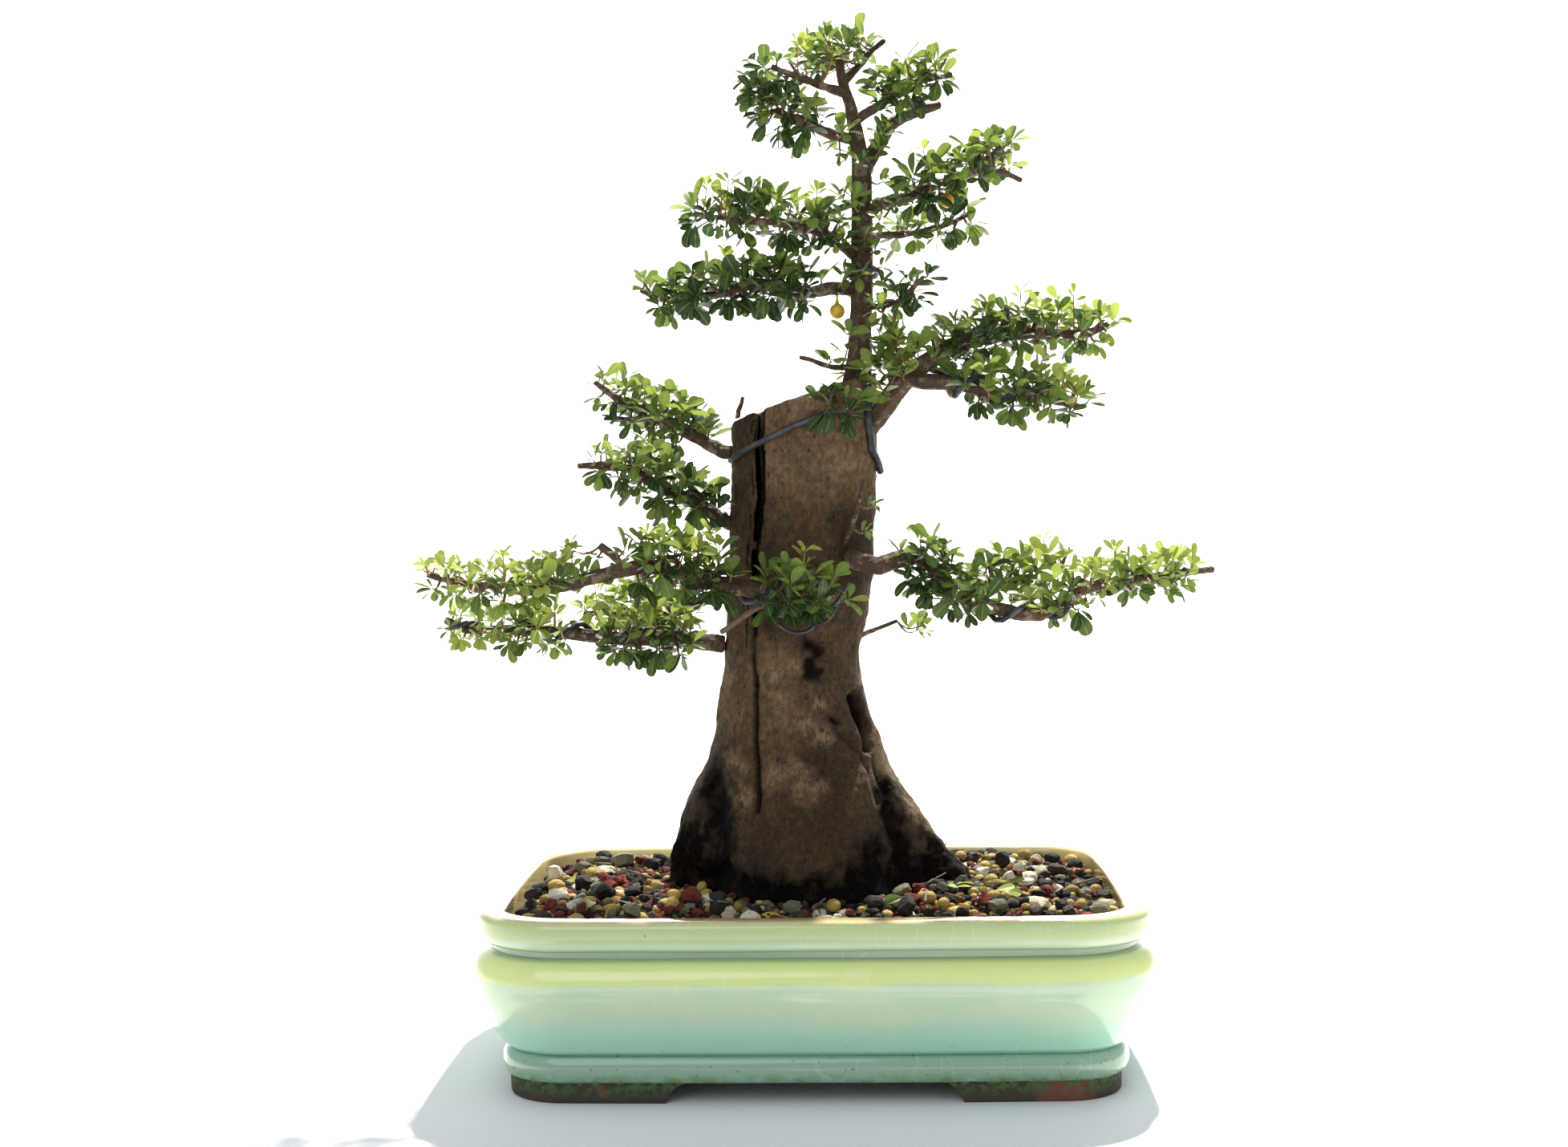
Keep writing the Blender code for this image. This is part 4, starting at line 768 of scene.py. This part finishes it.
# ------------------------------------------------------------------ the branches and the leader
# Each stem is one piece of wood grown from the trunk or the leader. The old ones are pinkish grey
# and knobbly, the young ones redder and smoother, ringed with scars where leaves have dropped.
STEM_GRAIN, TWIG_GRAIN = 0.00052, 0.00036

stem_look, shader, place = new_material("young_bark")
broad = cloudy(place, 0.016, 5.0)
fine = cloudy(place, 0.0016, 7.0)
colour = blend(broad, (0.070, 0.040, 0.024), (0.160, 0.100, 0.060))
colour = blend(times(fine, 0.6), colour, (0.040, 0.024, 0.016))
lichen = cloudy(place, 0.007, 6.0)
colour = blend(times(ramp(lichen, 0.6, 1.0), 0.65), colour, (0.34, 0.26, 0.18))
dots = speckled(place, 0.0020, 0.28, 0.4)
colour = blend(dots, colour, (0.05, 0.032, 0.022))
feed(shader, "Base Color", colour)
feed(shader, "Roughness", 0.72)
feed(shader, "Specular IOR Level", 0.3)
bump(shader, minus(fine, dots), 0.8, 0.0005)


def solid_copy(node, name, look):
    """A new piece with the shape of a node's solid."""
    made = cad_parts[node].copy()
    made.data = made.data.copy()
    made.parent = None
    made.name = name
    for key in [key for key in made.keys() if key.startswith("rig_")]:
        del made[key]
    made.data.materials.clear()
    made.data.materials.append(look)
    return show(made)


stem_points = []
for node in sorted(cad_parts):
    if not node.startswith(("branch_", "leader", "twig_")):
        continue
    stem = solid_copy(node, node + "_wood", stem_look)
    slim = node.startswith("twig_")
    remesh(stem, TWIG_GRAIN if slim else STEM_GRAIN, 7)
    points, normals = points_of(stem)
    knobs = 0.00042 * soft_noise(points, 0.0062, 21) + 0.00022 * soft_noise(points, 0.0021, 22)
    swell = 0.00018 if slim else 0.00030
    put_points(stem, points + normals * (swell + knobs * (0.4 if slim else 1.0))[:, None])
    settle(stem, "young_bark", node)
    stem_points.append(points)
stem_points = np.vstack(stem_points)


# ------------------------------------------------------------------ the leaves and their shoots
# Small leathery leaves, round at the tip and folded a little along the midrib, set spirally on
# short shoots with a rosette at each end. New ones are thin and yellow-green, old ones dark.
LEAF_LENGTH, LEAF_WIDTH = 0.0134, 0.0074
SHOOT_SPACING = 0.0088
GOLDEN_TURN = 2.39996

leaf_look, shader, place = new_material("leaf")
age, tone, _ = read_paint(shader, "leaf_age")
across, along, _ = shader_node(shader, "ShaderNodeSeparateXYZ", {
    "Vector": shader_node(shader, "ShaderNodeUVMap", uv_map="blade").outputs["UV"]}).outputs
young = blend(tone, (0.34, 0.41, 0.070), (0.52, 0.55, 0.14))
grown = blend(tone, (0.085, 0.160, 0.026), (0.215, 0.300, 0.060))
old = blend(tone, (0.010, 0.028, 0.010), (0.034, 0.068, 0.018))
colour = blend(ramp(age, 0.0, 0.5), young, grown)
colour = blend(ramp(age, 0.45, 0.95), colour, old)
from_rib = maths("ABSOLUTE", minus(across, 0.5), 0.0)
rib = ramp(from_rib, 0.050, 0.012)
colour = blend(times(rib, 0.5), colour, (0.38, 0.52, 0.16))
veins = shader_node(shader, "ShaderNodeTexWave", {
    "Vector": shader_node(shader, "ShaderNodeCombineXYZ", {
        "X": minus(times(along, 2.2), from_rib)}).outputs[0],
    "Scale": 3.2}).outputs["Fac"]
colour = blend(times(ramp(veins, 0.75, 1.0), 0.22), colour, (0.30, 0.46, 0.12))
feed(shader, "Base Color", colour)
patchy = cloudy(place, 0.004, 3.0)
feed(shader, "Roughness", blend(patchy, [0.24] * 3, [0.36] * 3))
feed(shader, "Specular IOR Level", 0.34)
bump(shader, plus(rib, times(veins, 0.3)), 0.35, 0.0003)
glow = shader_node(shader, "ShaderNodeBsdfTranslucent", {
    "Color": blend(times(ramp(age, 1.0, 0.15), 0.62), colour,
                   (0.50, 0.60, 0.10))})
through = shader_node(shader, "ShaderNodeMixShader", {0: 0.31, 1: shader.outputs[0], 2: glow.outputs[0]})
feed(leaf_look.node_tree.nodes["Material Output"], "Surface", through.outputs[0])

shoot_look, shader, place = new_material("shoot")
age, tone, _ = read_paint(shader, "shoot_age")
colour = blend(ramp(age, 0.1, 0.7), (0.46, 0.24, 0.075), (0.17, 0.105, 0.070))
mottled = cloudy(place, 0.0022, 5.0)
colour = blend(times(mottled, 0.5), colour, (0.10, 0.055, 0.035))
feed(shader, "Base Color", colour)
feed(shader, "Roughness", 0.6)
bump(shader, mottled, 0.6, 0.0004)

blade_along = np.array([-0.16, 0.0, 0.14, 0.32, 0.52, 0.70, 0.86, 0.96, 1.0])
blade_across = np.linspace(-1, 1, 5)
blade_wide = np.array([0.06, 0.08, 0.40, 0.70, 0.93, 1.0, 0.88, 0.60, 0.27])
blade_u, blade_v = np.meshgrid(blade_across, blade_along)
BLADE_FACES = [(row * 5 + i, row * 5 + i + 1, row * 5 + i + 6, row * 5 + i + 5)
               for row in range(8) for i in range(4)]


class Spray:
    """The leaves and shoots of one mass, gathered before they become two meshes."""

    def __init__(self, seed):
        self.dice = random.Random(seed)
        self.leaves = []
        self.shoots = []

    def leaf(self, seat, out, size, age):
        """A leaf from seat towards out; its upper side looks up and back to the light."""
        dice = self.dice
        out = (out + Vector([dice.uniform(-0.16, 0.16) for _ in range(3)])).normalized()
        sky = Vector((dice.uniform(-0.8, 0.8), dice.uniform(-0.9, 0.6), 1.0))
        face = (sky - out * sky.dot(out)).normalized()
        side = face.cross(out)
        slim = dice.uniform(0.88, 1.15)
        self.leaves.append((seat, out, side, face, size, size * slim * LEAF_WIDTH / LEAF_LENGTH,
                            dice.uniform(-0.1, 0.55) + 0.2 * age, dice.uniform(0.0, 0.38),
                            min(max(age + dice.uniform(-0.14, 0.14), 0), 1), dice.random()))

    def shoot(self, start, end, thick, age, bare=0.35, sag=0.0, leaf_scale=1.0, bend=None):
        """A shoot bowed from start to end, leafy over its last part, with a rosette at its end."""
        dice = self.dice
        span = end - start
        bow = bend if bend is not None else Vector((0, 0, -0.20 * span.length))
        path = [start + span * t + bow * math.sin(math.pi * t) for t in np.linspace(0, 1, 6)]
        self.shoots.append((path, thick, age))
        axis = (path[-1] - path[-2]).normalized()
        side = axis.orthogonal().normalized()
        turn = dice.uniform(0, 2 * math.pi)
        length = span.length
        count = int(length * (1 - bare) / 0.0040)
        for i in range(count):
            turn += GOLDEN_TURN
            t = bare + (1 - bare) * (i + 0.5) / max(count, 1)
            at = start + span * t + bow * math.sin(math.pi * t)
            radial = Matrix.Rotation(turn, 3, axis) @ side
            out = radial + axis * 0.55 + Vector((0, 0, 0.25 - sag))
            size = LEAF_LENGTH * dice.uniform(0.72, 1.12) * leaf_scale * (1 - 0.25 * t)
            self.leaf(at, out, size, age + 0.22 * (1 - t))
        for i in range(dice.randint(4, 6)):
            turn += GOLDEN_TURN
            radial = Matrix.Rotation(turn, 3, axis) @ side
            out = radial * dice.uniform(0.6, 1.1) + axis * dice.uniform(0.5, 1.0) + Vector((0, 0, -sag))
            size = LEAF_LENGTH * dice.uniform(0.55, 1.0) * leaf_scale
            self.leaf(path[-1] - axis * 0.0006 * i, out, size, age - 0.10)

    def stub(self, start, reach):
        """A bare cut end, thick for its length."""
        dice = self.dice
        lean = Vector((dice.uniform(-0.8, 0.8), dice.uniform(-0.8, 0.4), 1.0)).normalized()
        tip = start + lean * reach
        self.shoots.append(([start + (tip - start) * t for t in np.linspace(0, 1, 6)], 0.0012, 1.0))

    def finish(self, name, node):
        """Makes the two meshes and fixes them to the object."""
        count = len(self.leaves)
        seat, out, side, face = (np.array([tuple(leaf[i]) for leaf in self.leaves])[:, None, None, :]
                                 for i in range(4))
        length, width, curl, fold, age, tone = (np.array([leaf[i] for leaf in self.leaves])[:, None, None]
                                                for i in range(4, 10))
        curl = np.where(np.abs(curl) < 0.05, 0.05, curl)
        run = blade_v + 0.16
        forward = length * np.sin(curl * run) / curl
        drop = -length * (1 - np.cos(curl * run)) / curl
        half = width / 2 * blade_wide[:, None]
        sideways = blade_u * half * np.cos(fold)
        lift = (np.abs(blade_u) ** 1.5) * half * np.sin(fold) + drop
        corner = seat + out * forward[..., None] + side * sideways[..., None] + face * lift[..., None]
        faces = (np.arange(count)[:, None, None] * 45 + np.array(BLADE_FACES)).reshape(-1, 4)
        piece = add_piece(name, corner.reshape(-1, 3), faces.tolist(), leaf_look)
        wide = np.broadcast_to(age, corner.shape[:3]).ravel()
        paint(piece, "leaf_age", wide, np.broadcast_to(tone, corner.shape[:3]).ravel())
        sheet = piece.data.uv_layers.new(name="blade")
        spots = np.stack([(blade_u.ravel() + 1) / 2, (blade_v.ravel() + 0.16) / 1.16], 1)
        spots = np.tile(spots, (count, 1))[faces.ravel()]
        sheet.data.foreach_set("uv", spots.astype(np.float32).ravel())
        settle(piece, "leaf", *([node] if node else []))
        points, sides, ages = [], [], []
        for path, thick, shoot_age in self.shoots:
            along = (path[-1] - path[0]).normalized()
            across = along.orthogonal().normalized()
            above = along.cross(across)
            start = len(points)
            for i, centre in enumerate(path):
                reach = thick * (1 - 0.55 * i / (len(path) - 1)) * (1.18 if i % 2 else 0.95)
                for k in range(6):
                    turn = math.pi * k / 3
                    points.append(centre + (across * math.cos(turn) + above * math.sin(turn)) * reach)
                    ages.append(shoot_age * (1 - 0.4 * i / (len(path) - 1)))
            for i in range(len(path) - 1):
                for k in range(6):
                    low = start + 6 * i
                    sides.append((low + k, low + (k + 1) % 6, low + 6 + (k + 1) % 6, low + 6 + k))
            last = start + 6 * (len(path) - 1)
            sides += [tuple(range(start, start + 6))[::-1], tuple(range(last, last + 6))]
        wood = add_piece(name + "_shoots", np.array([tuple(p) for p in points]), sides, shoot_look)
        paint(wood, "shoot_age", np.array(ages), np.zeros(len(ages)))
        settle(wood, "young_bark")


wood = KDTree(len(stem_points))
for index, point in enumerate(stem_points):
    wood.insert(point, index)
wood.balance()


def surface_of(node):
    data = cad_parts[node].data
    return BVHTree.FromPolygons([v.co for v in data.vertices], [p.vertices for p in data.polygons])


def outside(surface, spot):
    """How far a spot lies outside a surface, less than 0 inside it."""
    nearest, normal, _, _ = surface.find_nearest(spot)
    return (spot - nearest).dot(normal)


for number, node in enumerate(sorted(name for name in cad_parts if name.startswith("leaves_"))):
    mass = surface_of(node)
    low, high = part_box(node)
    spray = Spray(100 + number)
    dice = spray.dice
    targets = []
    for _ in range(2600):
        spot = Vector([dice.uniform(low[i], high[i]) for i in range(3)])
        if outside(mass, spot) > -0.0012:
            continue
        seat = wood.find(spot)[0]
        above = (spot - seat).z
        tapered = min(max((abs(spot.x - 0.01) - 0.10) / 0.10, 0), 1)
        if not -0.005 < above < 0.013 - 0.006 * tapered or (above < 0 and dice.random() < 0.4):
            continue
        if all((spot - other[0]).length > SHOOT_SPACING for other in targets):
            targets.append((spot, seat))
    for spot, seat in targets:
        height = (spot.z - seat.z + 0.005) / 0.018
        outer = min(max((abs(spot.x - 0.01) - 0.06) / 0.12, 0) + max((spot.z - 0.49) / 0.14, 0), 1)
        age = 1.08 - 0.60 * height - 0.38 * outer + dice.uniform(-0.25, 0.25)
        if height > 0.7 and dice.random() < 0.22:
            tip = spot + Vector((dice.uniform(-0.004, 0.004), dice.uniform(-0.004, 0.004),
                                 dice.uniform(0.003, 0.013)))
            spray.shoot(seat, tip, 0.00060, 0.05, bare=0.35, leaf_scale=0.64)
        else:
            sag = 0.7 if height < 0.3 and dice.random() < 0.4 else 0.05
            spray.shoot(seat, spot, 0.00075, max(age, 0.0), bare=0.45, sag=sag,
                        leaf_scale=dice.uniform(0.78, 1.14) * (1 - 0.22 * outer))
    for spot, seat in targets[::14]:
        spray.stub(seat, dice.uniform(0.006, 0.012))
    spray.finish(node.replace("leaves_", "foliage_"), node)


# Sprigs that are too small to be a mass of their own: up the leader, round its foot, on the bare
# twigs and on the thin orange shoot. Each starts on the nearest wood.
SPRIGS = (
    (0.020, -0.020, 0.500, 1.0), (0.040, -0.016, 0.492, 0.8), (0.018, -0.018, 0.466, 1.0),
    (0.038, -0.020, 0.452, 0.8), (0.014, -0.018, 0.440, 0.8), (0.020, -0.022, 0.424, 1.0),
    (0.036, -0.024, 0.405, 1.0), (0.022, -0.026, 0.392, 1.0), (0.044, -0.026, 0.386, 1.1),
    (0.012, -0.028, 0.378, 0.9), (0.030, -0.030, 0.372, 1.1), (0.050, -0.030, 0.370, 1.0),
    (0.058, -0.028, 0.384, 1.1), (0.068, -0.026, 0.378, 1.1), (0.040, -0.034, 0.360, 1.0),
    (0.026, 0.020, 0.400, 1.0), (0.046, 0.018, 0.380, 1.0), (0.024, 0.020, 0.470, 1.0),
    (0.058, -0.012, 0.232, 0.9), (0.062, -0.014, 0.236, 0.9), (0.034, -0.040, 0.300, 0.6),
    (0.030, -0.042, 0.286, 0.6), (-0.004, -0.048, 0.268, 0.8), (0.012, -0.046, 0.262, 1.0),
    (0.020, -0.045, 0.250, 1.0), (0.018, -0.030, 0.452, 0.9), (0.024, -0.030, 0.464, 0.9))
spray = Spray(90)
for across, deep_in, height, scale in SPRIGS:
    spot = Vector((across, deep_in, height))
    seat = wood.find(spot)[0]
    if (spot - seat).length > 0.022:
        spot = seat + (spot - seat).normalized() * 0.022
    spray.shoot(seat, spot + Vector((0, 0, 0.003)), 0.0006, 0.55, bare=0.3, leaf_scale=scale * 0.85)
for _ in range(36):
    turn = spray.dice.uniform(0, 2 * math.pi)
    height = spray.dice.uniform(0.372, 0.528)
    spot = Vector((0.029 + 0.013 * math.cos(turn), 0.013 * math.sin(turn) - 0.004, height))
    seat = wood.find(spot)[0]
    spray.shoot(seat, spot, 0.0006, 0.8, bare=0.4, leaf_scale=spray.dice.uniform(0.6, 0.9))
spray.finish("sprigs", None)


# ------------------------------------------------------------------ the training wire
# Soft anodised wire, dark grey and satin, wound on the branches while they set to their new lines.
wire_look, shader, place = new_material("training_wire")
worn = cloudy(place, 0.006, 5.0)
feed(shader, "Base Color", blend(worn, (0.035, 0.037, 0.045), (0.085, 0.09, 0.105)))
feed(shader, "Roughness", blend(worn, [0.34] * 3, [0.52] * 3))
feed(shader, "Metallic", 0.55)
bump(shader, worn, 0.2, 0.0003)
for node in sorted(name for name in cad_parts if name.startswith("wire_")):
    wire = solid_copy(node, node.replace("wire_", "wound_wire_"), wire_look)
    remesh(wire, 0.0004, 9)
    points, normals = points_of(wire)
    put_points(wire, points + normals * 0.00028)
    settle(wire, "wire", node)


WIRE_ENDS = (
    ((-0.020, -0.046, 0.244), (-0.014, -0.056, 0.236), (-0.006, -0.056, 0.233), (0.001, -0.050, 0.239)),
    ((-0.020, -0.047, 0.247), (-0.013, -0.055, 0.242), (-0.007, -0.054, 0.243), (-0.003, -0.046, 0.250)),
    ((-0.036, -0.044, 0.260), (-0.030, -0.052, 0.257), (-0.024, -0.052, 0.254), (-0.019, -0.046, 0.250)),
    ((0.020, -0.042, 0.262), (0.016, -0.048, 0.254), (0.011, -0.050, 0.247), (0.004, -0.048, 0.243)),
    ((-0.002, -0.048, 0.240), (0.006, -0.054, 0.238), (0.012, -0.053, 0.244), (0.014, -0.046, 0.252)))


def thin_tube(name, stops, radius, look):
    """A round tube along a smooth curve through the stops, with closed ends."""
    line = bpy.data.curves.new(name, "CURVE")
    line.dimensions = "3D"
    run = line.splines.new("NURBS")
    run.points.add(len(stops) - 1)
    for point, stop in zip(run.points, stops):
        point.co = (*stop, 1)
    run.use_endpoint_u = True
    run.order_u = 4
    run.resolution_u = 12
    line.bevel_depth = radius
    line.bevel_resolution = 3
    line.use_fill_caps = True
    source = show(bpy.data.objects.new(name, line))
    graph = bpy.context.evaluated_depsgraph_get()
    mesh = bpy.data.meshes.new_from_object(source.evaluated_get(graph))
    bpy.data.objects.remove(source)
    mesh.materials.clear()
    mesh.materials.append(look)
    mesh.shade_smooth()
    return show(bpy.data.objects.new(name, mesh))


for number, stops in enumerate(WIRE_ENDS):
    settle(thin_tube(f"wire_loop_{number + 1}", stops, 0.00095, wire_look), "wire")
bare_twig = thin_tube("bare_twig", ((-0.048, -0.040, 0.236), (-0.040, -0.048, 0.241),
                                    (-0.032, -0.052, 0.248), (-0.025, -0.050, 0.251)), 0.0015, shoot_look)
paint(bare_twig, "shoot_age", np.full(len(bare_twig.data.vertices), 0.9),
      np.zeros(len(bare_twig.data.vertices)))
settle(bare_twig, "young_bark")


# ------------------------------------------------------------------ the fruits
# Two small berries on stalks, ripening from green through yellow to orange.
fruit_look, shader, place = new_material("berry_skin")
blush = cloudy(place, 0.006, 2.0)
colour = blend(blush, (0.62, 0.20, 0.02), (0.62, 0.50, 0.06))
freckle = speckled(place, 0.0009, 0.3, 0.3)
colour = blend(times(freckle, 0.5), colour, (0.30, 0.22, 0.05))
feed(shader, "Base Color", colour)
feed(shader, "Roughness", 0.25)
bump(shader, freckle, 0.3, 0.0002)
for node in ("fruit_left", "fruit_right"):
    low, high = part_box(node)
    middle = (low + high) / 2
    radius = (high.x - low.x) / 2
    rings = []
    around = np.linspace(0, 2 * math.pi, 25)[:-1]
    belly = low.z + radius
    stations = [(0.0006, high.z), (0.0006, high.z - 0.002)]
    stations += [(radius * math.sin(turn), belly + radius * 1.02 * math.cos(turn))
                 for turn in np.linspace(0.32, math.pi - 0.12, 14)]
    for reach, height in stations[::-1]:
        ring = np.column_stack([np.cos(around) * reach + middle.x, np.sin(around) * reach + middle.y,
                                np.full(24, height)])
        rings.append(ring)
    settle(skin(node.replace("fruit", "berry"), rings, fruit_look), "fruit", node)


# ------------------------------------------------------------------ the soil and the grit
# A dark potting mix under a top dressing of loose grains: rounded gravel, black and red lava,
# pale pumice and grey stone, heaped a little round the trunk, with dropped leaves and twigs on it.
SOIL_BELOW_RIM, GRIT_BELOW_RIM, GRIT_MOUND, SEAT_GAP = 0.018, 0.0075, 0.011, 0.0003
soil_look, shader, place = new_material("potting_mix")
crumbs = cloudy(place, 0.004, 8.0)
feed(shader, "Base Color", blend(crumbs, (0.022, 0.013, 0.009), (0.075, 0.048, 0.032)))
feed(shader, "Roughness", 0.95)
bump(shader, crumbs, 1.0, 0.0015)
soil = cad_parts["potting_soil"]
soil.data.materials.clear()
soil.data.materials.append(soil_look)

trunk_surface = surface_of("trunk")


def mound(across, deep):
    """The height of the grit's surface: level at the walls and heaped towards the trunk."""
    edge = np.maximum(np.abs(across) / (POT_LENGTH / 2 - INNER_INSET),
                      np.abs(deep) / (POT_DEPTH / 2 - INNER_INSET))
    return POT_HEIGHT - GRIT_BELOW_RIM + GRIT_MOUND * np.sin(np.clip(1 - edge, 0, 0.5) * math.pi) - 0.0058


bed_rings = [plan_ring(INNER_INSET + SEAT_GAP, POT_HEIGHT - SOIL_BELOW_RIM + SEAT_GAP)]
for share in np.linspace(0, 0.55, 40):
    flat = plan_ring(INNER_INSET + SEAT_GAP, 0.0) * (1 - share)
    flat[:, 2] = mound(flat[:, 0], flat[:, 1]) + 0.0008 * soft_noise(flat, 0.006, 30)
    bed_rings.append(flat)
settle(skin("grit_bed", bed_rings, soil_look), "grit", "grit_top_dressing")

ball = bmesh.new()
bmesh.ops.create_icosphere(ball, subdivisions=2, radius=1)
ball_points = np.array([tuple(v.co) for v in ball.verts])
ball_faces = np.array([[v.index for v in face.verts] for face in ball.faces])
ball.free()


def stone_look(name, dark, light, dots, roughness, glossy_dust):
    made, shader, place = new_material(name)
    tone, shade, _ = read_paint(shader, "stone_tone")
    spread = cloudy(place, 0.0035, 6.0)
    colour = blend(tone, dark, light)
    colour = blend(times(spread, 0.55), colour, dots)
    pores = speckled(place, 0.0011, 0.34, glossy_dust)
    colour = blend(pores, colour, [0.35 * c for c in dark])
    feed(shader, "Base Color", colour)
    feed(shader, "Roughness", roughness)
    feed(shader, "Specular IOR Level", 0.25)
    bump(shader, minus(spread, pores), 0.9, 0.0007)
    return made


# name, share, how angular, rough lumps, sizes, material
STONES = (
    ("gravel_tan", 0.21, 0.25, 0.05, (0.0019, 0.0039),
     stone_look("tan_gravel", (0.20, 0.115, 0.025), (0.62, 0.42, 0.12), (0.34, 0.28, 0.06), 0.62, 0.15)),
    ("lava_black", 0.40, 0.85, 0.22, (0.0018, 0.0046),
     stone_look("black_lava", (0.007, 0.006, 0.006), (0.050, 0.040, 0.034), (0.02, 0.015, 0.013), 0.8, 0.5)),
    ("lava_red", 0.20, 0.85, 0.26, (0.0017, 0.0042),
     stone_look("red_lava", (0.075, 0.012, 0.009), (0.26, 0.050, 0.034), (0.13, 0.035, 0.022), 0.9, 0.5)),
    ("pumice_pale", 0.06, 0.80, 0.15, (0.0020, 0.0058),
     stone_look("pale_pumice", (0.50, 0.44, 0.30), (0.80, 0.76, 0.62), (0.62, 0.60, 0.40), 0.9, 0.3)),
    ("stone_grey", 0.13, 0.75, 0.10, (0.0018, 0.0048),
     stone_look("grey_stone", (0.070, 0.066, 0.045), (0.24, 0.23, 0.15), (0.15, 0.15, 0.07), 0.75, 0.25)),
)
dice = random.Random(7)
half_x, half_y = POT_LENGTH / 2 - INNER_INSET - 0.003, POT_DEPTH / 2 - INNER_INSET - 0.003
laid = {entry[0]: [] for entry in STONES}
grid = {}
kinds = [entry[0] for entry in STONES]
chances = [entry[1] for entry in STONES]
for attempt in range(34000):
    across, deep_in = dice.uniform(-half_x, half_x), dice.uniform(-half_y, half_y)
    layer = 0 if attempt < 20000 else 1
    kind = dice.choices(kinds, chances)[0]
    entry = STONES[kinds.index(kind)]
    smallest, largest = entry[4]
    radius = smallest + (1.25 * largest - smallest) * dice.random() ** 1.7
    corner = max(abs(across) - (half_x - 0.031), 0), max(abs(deep_in) - (half_y - 0.031), 0)
    if math.hypot(*corner) > 0.031 - radius * 0.5:
        continue
    height = float(mound(across, deep_in)) + radius * (0.15 if layer == 0 else 1.05)
    spot = Vector((across, deep_in, height))
    key = (int(across // 0.012), int(deep_in // 0.012), layer)
    close = [item for i in (-1, 0, 1) for j in (-1, 0, 1)
             for item in grid.get((key[0] + i, key[1] + j, layer), [])]
    spacing = 0.74 if layer == 0 else 0.95
    if any(math.hypot(spot.x - other[0], spot.y - other[1]) < spacing * (radius + other[2])
           for other in close):
        continue
    if layer and dice.random() < 0.45:
        continue
    if outside(trunk_surface, spot) < 0.25 * radius:
        continue
    grid.setdefault(key, []).append((across, deep_in, radius))
    laid[kind].append((spot, radius))
for name, _, angular, lumps, _, look in STONES:
    corners, tones = [], []
    for index, (spot, radius) in enumerate(laid[name]):
        shape = ball_points.copy()
        if angular > 0.5:
            power = dice.uniform(3.0, 7.0)
            shape = shape / (np.abs(shape) ** power).sum(1, keepdims=True) ** (1 / power) * 0.88
            for _ in range(4):
                cut = Vector([dice.gauss(0, 1) for _ in range(3)]).normalized()
                over = np.clip(shape @ np.array(cut) - dice.uniform(0.55, 0.85), 0, None)
                shape -= over[:, None] * np.array(cut)
        shape *= [dice.uniform(0.85, 1.3), dice.uniform(0.75, 1.05), dice.uniform(0.65, 0.95)]
        shape *= 1 + lumps * soft_noise(shape, 0.55, 50 + index)[:, None]
        spin = np.array(Matrix.Rotation(dice.uniform(0, 6.28), 3, "Z")
                        @ Matrix.Rotation(dice.uniform(-0.6, 0.6), 3, "X"))
        corners.append(shape @ spin.T * radius + np.array(spot))
        tones += [dice.random()] * len(shape)
    count = len(laid[name])
    faces = (np.arange(count)[:, None, None] * len(ball_points) + ball_faces).reshape(-1, 3)
    stones = add_piece(name, np.vstack(corners), faces.tolist(), look)
    if angular > 0.5:
        stones.data.set_sharp_from_angle(angle=math.radians(28))
    paint(stones, "stone_tone", np.array(tones), np.zeros(len(tones)))
    settle(stones, "grit")


# Dead twigs and dropped leaves that lie on the stones.
litter = Spray(8)
dice = litter.dice
for index in range(46):
    across, deep_in = dice.uniform(-0.150, 0.150), dice.uniform(-0.098, 0.098)
    if index < 9:
        across, deep_in = dice.uniform(0.052, 0.105), dice.uniform(-0.085, -0.030)
    start = Vector((across, deep_in, float(mound(across, deep_in)) + 0.0070))
    if outside(trunk_surface, start) < 0.005:
        continue
    if index % 2:
        litter.leaf(start, Vector((dice.uniform(-1, 1), dice.uniform(-1, 1), 0.1)), 0.010,
                    dice.choice((0.0, 0.5, 1.0)))
        continue
    turn = dice.uniform(0, 2 * math.pi)
    reach = dice.uniform(0.010, 0.024)
    end = start + Vector((reach * math.cos(turn), reach * math.sin(turn), dice.uniform(0, 0.005)))
    if max(abs(end.x) - half_x, abs(end.y) - half_y) > 0 or outside(trunk_surface, end) < 0.002:
        continue
    litter.shoots.append(([start + (end - start) * t for t in np.linspace(0, 1, 6)],
                          dice.uniform(0.0005, 0.0010), 1.0))
litter.finish("fallen_leaves", None)


# ------------------------------------------------------------------ the drain screens
# Squares of woven plastic mesh over the drain holes, which keep the soil in.
screen_look, shader, place = new_material("screen_mesh")
dusty = cloudy(place, 0.006, 4.0)
feed(shader, "Base Color", blend(dusty, [0.012] * 3, (0.06, 0.05, 0.04)))
feed(shader, "Roughness", 0.6)
bump(shader, dusty, 0.3, 0.0002)
STRAND, STRANDS = 0.0004, 12
for node in ("drain_screen_left", "drain_screen_right"):
    low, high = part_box(node)
    work = bmesh.new()
    for along in (0, 1):
        run = high[along] - low[along] - 2 * STRAND
        scale = Vector((2 * STRAND, 2 * STRAND, 2 * STRAND))
        scale[1 - along] = (high - low)[1 - along]
        for i in range(STRANDS + 1):
            at = (low + high) / 2
            at[along] = low[along] + STRAND + run * i / STRANDS
            at.z += STRAND * (0.8 if along else -0.8)
            where = Matrix.Translation(at) @ Matrix.Diagonal((*scale, 1))
            bmesh.ops.create_cube(work, size=1, matrix=where)
    mesh = bpy.data.meshes.new(node)
    work.to_mesh(mesh)
    work.free()
    mesh.materials.append(screen_look)
    settle(show(bpy.data.objects.new(node + "_weave", mesh)), "screen", node)
